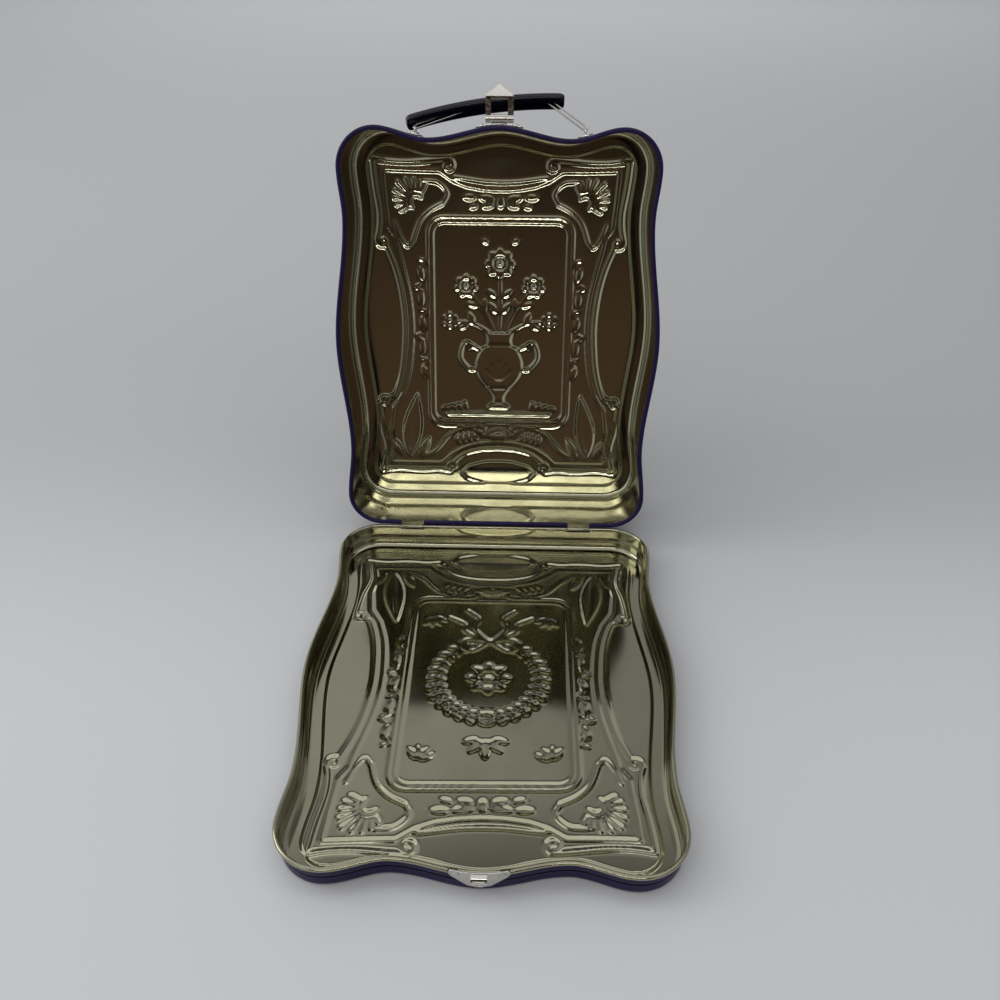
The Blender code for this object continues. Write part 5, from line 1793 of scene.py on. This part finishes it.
@dataclass
class Latch:
    """The latch on the deep shell: a riveted base rolled into a knuckle, its pin and the hasp."""

    outline: ScrollOutline
    finishes: Finishes
    sizes: CaseSizes
    sheet: float = 0.7
    base_width: float = 25.0
    base_top: float = 2.6
    base_height: float = 14.0
    base_taper: float = 0.45
    base_back: float = 0.3
    knuckle_radius: float = 2.4
    knuckle_width: float = 8.3
    knuckle_turn: Pair = (100.0, 390.0)
    corner: float = 1.2
    bore: float = 1.35
    pin_radius: float = 1.05
    hasp_width: float = 14.8
    arm_inner: float = 4.45
    eye: float = 1.7
    plate_y: float = -0.9
    bar_at: float = 9.4
    bar_height: float = 1.8
    bar_swell: float = 0.25
    bar_lap: float = 0.2
    flange_length: float = 6.0
    flange_degrees: float = 15.0
    point_half: float = 0.9
    eye_start: float = 52.0
    edge_round: float = 0.16
    rivet_at: float = 9.0
    rivet_depth: float = 8.0
    pin_sides: int = 28
    pin_chamfer: float = 0.3
    pin_end: float = 0.7

    def base(self) -> Piece:
        """Makes the base with its knuckle."""
        plates = WallPlate(self.outline, self.finishes.nickel, self.sizes)
        low = self.base_top - self.sizes.rim_below
        knuckle_half = self.knuckle_width / 2
        half = self.base_width / 2

        def span(away: float) -> Pair:
            """The base's low and high ends: it tapers to its sides, its corners cut."""
            t = max(0.0, away - knuckle_half) / (half - knuckle_half)
            corner = max(0.0, away - half + self.corner)
            return low + corner, low + self.base_height * (1.0 - self.base_taper * t) - corner

        front = self.base_back + self.sheet
        plate = plates.build("latch_base_plate", half, 0.0, self.base_back, front, span)
        plate.data.transform(self.sizes.shell_frame())
        middle = (self.bore + self.knuckle_radius) / 2
        angles = np.radians(np.linspace(*self.knuckle_turn, 44))
        line = [(middle * math.cos(a), middle * math.sin(a)) for a in angles]
        rolled = strip("knuckle", line, self.knuckle_radius - self.bore, -knuckle_half, knuckle_half,
                       self.finishes.nickel, bevel=self.edge_round)
        foot = strip("foot", [(2.15, -0.3), (2.15, 2.2)], 1.2, -knuckle_half, knuckle_half,
                     self.finishes.nickel, bevel=0.12)
        turned = axis_frame("hasp_hinge", -self.sizes.open_degrees)
        for part in (rolled, foot):
            part.data.transform(turned)
        piece = join("latch_base_plate", [plate, rolled, foot])
        return ride_as(piece, "shell", "plated_steel", "latch_base")

    def pin(self) -> Piece:
        """Makes the pin, its ends chamfered."""
        half, sides = self.hasp_width / 2, self.pin_sides
        inner = half - self.pin_chamfer
        rows = [(-half, self.pin_end), (-inner, 1.0), (inner, 1.0), (half, self.pin_end)]
        verts = []
        for x, share in rows:
            for k in range(sides):
                angle = 2 * math.pi * k / sides
                reach = self.pin_radius * share
                verts.append((x, reach * math.cos(angle), reach * math.sin(angle)))
        made = solid("hasp_pin", verts, tube_faces(len(rows), sides), self.finishes.nickel)
        made.data.transform(axis_frame("hasp_hinge", 0.0))
        return ride_as(made, "shell", "plated_steel", "latch_pin")

    def hasp(self) -> Piece:
        """Makes the hasp: two arms curled round the pin, the lip bar and the pointed flange."""
        leave = math.degrees(math.acos(self.plate_y / self.eye)) - 360.0
        angles = np.radians(np.linspace(self.eye_start, leave, 40))
        line = [(self.eye * math.cos(a), self.eye * math.sin(a)) for a in angles]
        tail = np.linspace(line[-1][1] + 0.6, self.bar_at + self.bar_height / 2, 6)
        line += [(self.plate_y, float(z)) for z in tail]
        half = self.hasp_width / 2
        parts = [
            strip("arm", line, self.sheet, low, high, self.finishes.nickel, bevel=0.14)
            for low, high in ((self.arm_inner, half), (-half, -self.arm_inner))]
        lean = math.radians(self.flange_degrees)
        thin = self.sheet / 2
        rows = []
        for t in np.linspace(0.0, 1.0, 9):
            swell = thin + self.bar_swell * math.sin(math.pi * t)
            z = self.bar_at + self.bar_height * t
            rows.append((half, (self.plate_y - thin, z), (self.plate_y + swell, z)))
        parts.append(ribbon("bar", rows, self.finishes.nickel, self.edge_round))
        # The flange starts inside the bar, so that no gap shows between them
        start = self.bar_at + self.bar_height - self.bar_lap
        rise = self.flange_length * math.cos(lean) + self.bar_lap
        rows = []
        for t in np.linspace(0.0, 1.0, 25):
            ease = 3 * t * t - 2 * t**3
            wide = half * (1.0 - ease) + self.point_half * ease
            y, z = self.plate_y + self.flange_length * t * math.sin(lean), start + rise * t
            rows.append((float(wide), (y - thin, z), (y + thin, z)))
        parts.append(ribbon("flange", rows, self.finishes.nickel, self.edge_round))
        made = join("hasp", parts)
        made.data.transform(axis_frame("hasp_hinge", 90.0 - self.sizes.open_degrees))
        return ride_as(made, "hasp", "plated_steel", "hasp_plate")


@dataclass
class Handle:
    """The carrying handle: eyes on plates, wire loops, cross pins and the arched grip."""

    outline: ScrollOutline
    finishes: Finishes
    sizes: CaseSizes
    lean_degrees: float = 40.0
    eye_at: float = 46.5
    eye_depth: float = 25.0
    eye_bend: float = 2.6
    eye_wire: float = 0.45
    eye_height: float = 1.6
    plate_long: float = 15.0
    plate_wide: float = 8.0
    plate_thick: float = 0.8
    fit: float = 0.3
    rivet_in: float = 2.1
    link_wire: float = 0.5
    link_spread: float = 2.5
    arc_radius: float = 213.0
    length: float = 89.0
    width: float = 10.0
    thick: float = 5.8
    lip: float = 1.2
    end_wall: float = 2.6
    mouth_end: float = 10.0
    pin_length: float = 5.6
    play: float = 0.35
    travel: float = 18.5
    pin_near: float = 12.0
    pin_far: float = 8.0
    left: Pair = (-51.7, 4.9)
    tilt: float = 0.188496
    plate_corner: float = 2.2
    belly_power: float = 0.62
    end_round: float = 3.5
    end_share: float = 0.55

    def frame(self) -> Matrix:
        """The handle's own frame: x sideways, y across and z along its height."""
        return axis_frame("handle_swing", 90.0 - self.lean_degrees - self.sizes.open_degrees)

    def arch(self, run: float, lift: float = 0.0) -> Pair:
        """Finds a place on the arch.

        Args:
            run: How far it is from the left end, along the centre line.
            lift: How far it is over the centre line.

        Returns:
            Its x and z in the handle's own frame.
        """
        span = self.length / self.arc_radius
        first = span / 2 + self.tilt
        centre = (self.left[0] + math.sin(first) * self.arc_radius,
                  self.left[1] - math.cos(first) * self.arc_radius)
        angle = first - run / self.arc_radius
        reach = self.arc_radius + lift
        return centre[0] - math.sin(angle) * reach, centre[1] + math.cos(angle) * reach

    def pin_spot(self, side: int) -> Pair:
        """Where a loop's cross pin rides in the grip."""
        run = self.pin_near + self.travel if side < 0 else self.length - self.pin_far
        return self.arch(run, self.lip + self.link_wire + self.play - self.thick / 2)

    def eyes(self) -> Piece:
        """Makes the two wire eyes on their plates."""
        plates = WallPlate(self.outline, self.finishes.nickel, self.sizes)
        middle = self.eye_depth - self.sizes.rim_below
        long, wide, corner = self.plate_long / 2, self.plate_wide / 2, self.plate_corner

        def span(away: float) -> Pair:
            """The plate's low and high ends, its corners round."""
            over = max(0.0, away - wide + corner)
            trim = corner - math.sqrt(max(0.0, corner**2 - over**2))
            return middle - long + trim, middle + long - trim

        parts = []
        for side in (-1, 1):
            plate = plates.build("eye_plate", wide, side * self.eye_at, self.fit,
                                 self.fit + self.plate_thick, span)
            plate.data.transform(self.sizes.shell_frame())
            parts.append(plate)
        seat = self.eye_height + self.plate_thick / 2
        paths = []
        for side in (-1, 1):
            x, bend = side * self.eye_at, self.eye_bend
            turn = np.radians(np.linspace(270.0, 90.0, 25))
            arc = [(x, bend * math.cos(a), bend * math.sin(a)) for a in turn]
            ends = [(x, seat, -bend), (x, seat, bend)]
            paths.append((np.array([ends[0], *arc, ends[1]]), False))
        wires = RoundWire(self.finishes.nickel).draw(
            "eye_wires", paths, self.eye_wire, axis_frame("handle_swing", -self.sizes.open_degrees))
        piece = join("handle_eyes", [*parts, wires])
        return ride_as(piece, "shell", "plated_steel", "handle_eye_left", "handle_eye_right")

    def rivets(self, latch: Latch) -> Piece:
        """Makes the domed rivet heads of the latch's base and of the eyes' plates.

        Args:
            latch: The latch, for its rivets' places.

        Returns:
            All six heads as one piece.
        """
        plates = WallPlate(self.outline, self.finishes.nickel, self.sizes)
        wanted = []
        for side in (-1, 1):
            wanted.append((side * latch.rivet_at, latch.base_back + latch.sheet, latch.rivet_depth))
            for end in (-1, 1):
                depth = self.eye_depth + end * (self.plate_long / 2 - self.rivet_in)
                wanted.append((side * self.eye_at, self.fit + self.plate_thick, depth))
        spots, facing = [], []
        for u, out, depth in wanted:
            x, y, normal = plates.spot(u, out)
            spots.append((x, y, depth - self.sizes.rim_below))
            facing.append(normal)
        piece = RivetHeads(self.finishes.nickel).drive(
            "shell_rivets", np.array(spots), np.array(facing), self.sizes.shell_frame())
        nodes = [f"latch_rivet_{side}" for side in ("left", "right")]
        nodes += [f"eye_rivet_{side}_{end}" for side in ("left", "right") for end in ("front", "back")]
        return ride_as(piece, "shell", "plated_steel", *nodes)

    def links(self) -> Piece:
        """Makes the two long wire loops with their cross pins."""
        paths = []
        for side in (-1, 1):
            head = np.array(self.pin_spot(side))
            foot = np.array((side * self.eye_at, self.eye_bend))
            way = (head - foot) / np.linalg.norm(head - foot)
            across = np.array((-way[1], way[0]))
            loop = []
            for centre, start in ((foot, 180.0), (head, 0.0)):
                for angle in np.radians(np.linspace(start, start + 180.0, 15)):
                    out = across * math.cos(angle) + way * math.sin(angle)
                    x, z = centre + out * self.link_spread / 2
                    loop.append((x, 0.0, z))
            paths.append((np.array(loop), True))
            reach = self.pin_length / 2
            pin = [(head[0], y, head[1]) for y in np.linspace(-reach, reach, 3)]
            paths.append((np.array(pin), False))
        piece = RoundWire(self.finishes.nickel).draw(
            "handle_loops", paths, self.link_wire, self.frame())
        nodes = [f"{kind}_{side}" for kind in ("wire_link", "link_pin") for side in ("left", "right")]
        return ride_as(piece, "handle_links", "plated_steel", *nodes)

    def grip(self) -> Piece:
        """Makes the arched grip, hollowed for the pins and loops."""
        half, top, rounding = self.width / 2, self.thick / 2, self.end_round
        section = []
        # Round on top, and squarer below where the fingers rest
        for angle in np.linspace(0.0, 2 * math.pi, 49)[:-1]:
            power = 1.0 if angle <= math.pi else self.belly_power
            x = abs(math.cos(angle))**power * math.copysign(1.0, math.cos(angle))
            z = abs(math.sin(angle))**power * math.copysign(1.0, math.sin(angle))
            section.append((half * x, top * z))
        ends = [0.0, 0.15, 0.4, 0.8, 1.3, 2.0, 2.8, rounding]
        runs = ends + np.linspace(rounding, self.length - rounding, 36)[1:-1].tolist()
        runs += [self.length - run for run in ends[::-1]]
        rows = []
        for run in runs:
            near = min(run, self.length - run, rounding) / rounding
            swell = (1.0 - self.end_share) * math.sqrt(1.0 - (1.0 - near)**2)
            rows.append((run, self.end_share + swell))
        bar = self._loft("grip_bar", rows, section, 0.35)
        below, lip = -top - self.sizes.clear, self.lip - top
        ceiling = lip + 2 * (self.link_wire + self.play)
        neck = self.link_wire + 2 * self.fit
        room = self.pin_length / 2 + self.play
        roof = ceiling - self.play - self.link_wire + self.link_spread / 2 + self.link_wire + self.fit
        right = [(neck, below), (neck, lip), (room, lip), (room, ceiling), (neck, ceiling), (neck, roof)]
        slot = right + [(-x, z) for x, z in reversed(right)]
        mouth = [(neck, below), (neck, ceiling), (-neck, ceiling), (-neck, below)]
        inner = self.pin_near + self.travel + self.link_spread / 2 + self.link_wire + self.play
        tools = []
        for section, low, high in (
                (slot, self.end_wall, inner), (mouth, -self.sizes.clear, self.mouth_end)):
            for mirror in (False, True):
                runs = np.linspace(low, high, 13)
                runs = (self.length - runs)[::-1] if mirror else runs
                tools.append(self._loft("slot", [(float(r), 1.0) for r in runs], section, 0.0))
        cut_away(bar, tools)
        shade(bar.data, 40.0)
        bar.data.transform(self.frame())
        return ride_as(bar, "grip", "moulded_plastic", "grip")

    def _loft(self, name: str, rows: Sequence[Pair],
              section: Sequence[Pair], bevel: float) -> Piece:
        """Carries a section along the arch.

        Args:
            name: The bar's name.
            rows: Run along the arch and scale of the section there.
            section: Points across and over the centre line.
            bevel: Width of its rounded edges.

        Returns:
            The closed bar in the handle's own frame.
        """
        verts = []
        for run, scale in rows:
            for across, lift in section:
                x, z = self.arch(run, lift * scale)
                verts.append((x, across * scale, z))
        faces = tube_faces(len(rows), len(section))
        return solid(name, verts, faces, self.finishes.plastic, bevel)


def hinge_wire(finishes: Finishes, sizes: CaseSizes, reach: float = 63.45,
               radius: float = 0.45) -> Piece:
    """Makes the wire that the hinge tongues curl round.

    Args:
        finishes: The shared materials.
        sizes: The shared sizes.
        reach: Half its length.
        radius: Its radius.

    Returns:
        The wire.
    """
    path = np.array([(x, 0.0, 0.0) for x in np.linspace(-reach, reach, 3)])
    piece = RoundWire(finishes.nickel).draw("hinge_rod", [(path, False)], radius, sizes.lid_frame())
    return ride_as(piece, "lid", "plated_steel", "hinge_wire")


@dataclass(frozen=True)
class SoftLamp:
    """A rectangular soft lamp, in metres and watts."""

    name: str
    at: Triple
    aim: Triple
    size: Pair
    power: float


@dataclass
class Studio:
    """The pale floor, the soft light and the camera at the photograph's angle."""

    focal_px: float = 929.8
    image_px: float = 1000.0
    yaw: float = 0.0229
    pitch: float = 0.64365
    roll: float = -0.0043
    eye_mm: Triple = (12.8, -439.394, 364.73)
    near_floor: str = "#dfe0e1"
    # Painted shade: the floor's darker tone behind the box
    painted_shade_floor: str = "#c5c6c7"
    end_floor: str = "#e4e5e7"
    room_left: str = "#c6c8ca"
    room_right: str = "#96979a"
    ceiling: str = "#55565a"
    behind_low: str = "#5c4a3c"
    behind_high: str = "#3a2f25"

    LAMPS = (
        SoftLamp("overhead_front", (0.0, -0.86, 1.5), (0.0, -0.86, 0.0), (2.4, 0.82), 4.7),
        SoftLamp("overhead_back", (0.0, 0.17, 1.5), (0.0, 0.17, 0.0), (2.2, 0.64), 4.2),
        SoftLamp("backdrop", (0.0, 2.0, 1.2), (0.0, 2.0, 0.0), (2.4, 0.8), 6.0),
        SoftLamp("window", (-0.05, -2.2, 1.64), (0.0, 0.07, 0.0), (1.6, 0.16), 7.2),
        SoftLamp("left", (-1.3, 0.1, 0.9), (0.0, 0.2, 0.1), (0.8, 0.8), 4.5),
    )

    def build(self) -> None:
        """Makes the floor, the lamps, the world and the camera."""
        self.camera()
        self.floor()
        self.lamps()
        self.world()
        bpy.context.scene.view_settings.view_transform = "Standard"

    def camera(self) -> None:
        """Places the camera from its fitted angles."""
        level = Matrix(((1, 0, 0), (0, 0, -1), (0, 1, 0)))
        roll, pitch, yaw = (Matrix.Rotation(angle, 3, axis) for angle, axis in (
            (-self.roll, "Z"), (self.pitch, "X"), (-self.yaw, "Z")))
        rows = roll @ pitch @ level @ yaw
        turn = Matrix((rows[0], -rows[1], -rows[2])).transposed().to_4x4()
        data = bpy.data.cameras.new("camera")
        data.sensor_width = 36.0
        data.sensor_fit = "HORIZONTAL"
        data.lens = data.sensor_width * self.focal_px / self.image_px
        data.clip_start = 0.01
        eye = placed("camera", data)
        # The eye was fitted from the hinge axis, in a frame level with the floor
        spot = Vector(self.eye_mm) + Vector((0.0, joint_spot("shell_hinge")[1], 0.0))
        eye.matrix_world = Matrix.Translation(spot * MM) @ turn
        bpy.context.scene.camera = eye

    def floor(self) -> None:
        """Lays a matt sheet with painted shade: a little darker behind the box, where the foot of a
        backdrop lies in shade, and paler again at its far end.
        """
        mesh = bpy.data.meshes.new("floor")
        corners = [(-1.6, -0.6, 0.0), (1.6, -0.6, 0.0), (1.6, 2.2, 0.0), (-1.6, 2.2, 0.0)]
        mesh.from_pydata(corners, [], [(0, 1, 2, 3)])
        made, tree, shader, place = blank_material("matt_backdrop_paper")
        away = node(tree, "ShaderNodeSeparateXYZ", {0: place}).outputs["Y"]
        # Painted shade: the sheet darkens behind the box, where the foot of a backdrop lies in shade
        far = node(tree, "ShaderNodeMapRange", {
            "Value": away, "From Min": -0.1, "From Max": 0.2}, interpolation_type="SMOOTHSTEP")
        end = node(tree, "ShaderNodeMapRange", {"Value": away, "From Min": 0.3, "From Max": 1.9})
        tone = node(tree, "ShaderNodeMix", {
            "Factor": far.outputs["Result"], "A": linear(self.near_floor), "B": linear(self.painted_shade_floor)},
            data_type="RGBA")
        lifted = node(tree, "ShaderNodeMix", {
            "Factor": end.outputs["Result"], "A": tone.outputs["Result"], "B": linear(self.end_floor)},
            data_type="RGBA")
        tree.links.new(lifted.outputs["Result"], shader.inputs["Base Color"])
        set_shader(shader, {"Roughness": 0.6})
        mesh.materials.append(made)
        floor = placed("floor", mesh)

    def lamps(self) -> None:
        """Hangs two lamps overhead with a dark gap between, and one each behind, in front and left.

        The one in front is long and low, like a window. The mirror metal shows it as a bright band.
        """
        for wanted in self.LAMPS:
            data = bpy.data.lights.new(wanted.name, "AREA")
            data.shape = "RECTANGLE"
            data.size, data.size_y = wanted.size
            data.energy = wanted.power
            lamp = placed(wanted.name, data)
            lamp.location = wanted.at
            towards = Vector(wanted.aim) - Vector(wanted.at)
            lamp.rotation_euler = towards.to_track_quat("-Z", "Y").to_euler()

    def world(self) -> None:
        """Paints a pale room, brighter on the left, with a dim patch behind the camera."""
        world = bpy.data.worlds.new("room")
        world.use_nodes = True
        bpy.context.scene.world = world
        tree = world.node_tree
        way = node(tree, "ShaderNodeTexCoord").outputs["Generated"]
        split = node(tree, "ShaderNodeSeparateXYZ", {0: way}).outputs
        aside = node(tree, "ShaderNodeMath", {0: split["X"]}, operation="ABSOLUTE").outputs[0]
        fades = {}
        for name, value, first, last in (
                ("rightwards", split["X"], -0.35, 0.35), ("overhead", split["Z"], 0.8, 0.88),
                ("upwards", split["Z"], 0.1, 0.3), ("backwards", split["Y"], 0.15, -0.45),
                ("not_overhead", split["Z"], 0.84, 0.7), ("middle", aside, 0.55, 0.3)):
            fades[name] = node(tree, "ShaderNodeMapRange", {
                "Value": value, "From Min": first, "From Max": last},
                interpolation_type="SMOOTHSTEP").outputs["Result"]
        for name, first, second in (("low", "not_overhead", "middle"), ("dim", "backwards", "low")):
            fades[name] = node(tree, "ShaderNodeMath", {
                0: fades[first], 1: fades[second]}, operation="MULTIPLY").outputs[0]
        tones = {name: linear(getattr(self, name)) for name in (
            "room_left", "room_right", "ceiling", "behind_low", "behind_high")}
        for name, fade, first, second in (
                ("walls", "rightwards", "room_left", "room_right"),
                ("pale", "overhead", "walls", "ceiling"),
                ("behind", "upwards", "behind_low", "behind_high"),
                ("room", "dim", "pale", "behind")):
            tones[name] = node(tree, "ShaderNodeMix", {
                "Factor": fades[fade], "A": tones[first], "B": tones[second]},
                data_type="RGBA").outputs["Result"]
        tree.links.new(tones["room"], tree.nodes["Background"].inputs["Color"])


def main() -> None:
    """Builds the box and the studio, and reports each piece."""
    logging.basicConfig(level=logging.INFO, format="%(message)s")
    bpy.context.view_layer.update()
    Studio().build()
    finishes = Finishes()
    outline = ScrollOutline()
    sizes = CaseSizes()
    shell = DeepShell(
        "deep", "shell", depth=55.0, wall_out=0.0, picture=Picture.VASE, place=sizes.shell_place,
        outline=outline, finishes=finishes)
    lid = ShallowLid(
        "lid", "lid", depth=15.0, wall_out=0.75, picture=Picture.WREATH, place=sizes.lid_place,
        outline=outline, finishes=finishes)
    keeper = Keeper(outline, finishes, sizes)
    latch = Latch(outline, finishes, sizes)
    handle = Handle(outline, finishes, sizes)
    steps = (
        shell.face, shell.band, shell.tongues, lid.face, lid.band, lambda: hinge_wire(finishes, sizes),
        keeper.build, latch.base, latch.pin, latch.hasp, handle.eyes, lambda: handle.rivets(latch),
        handle.links, handle.grip)
    for make in steps:
        piece = make()
        LOG.info("%s: %d faces", piece.name, len(piece.data.polygons))


if __name__ == "__main__":
    main()
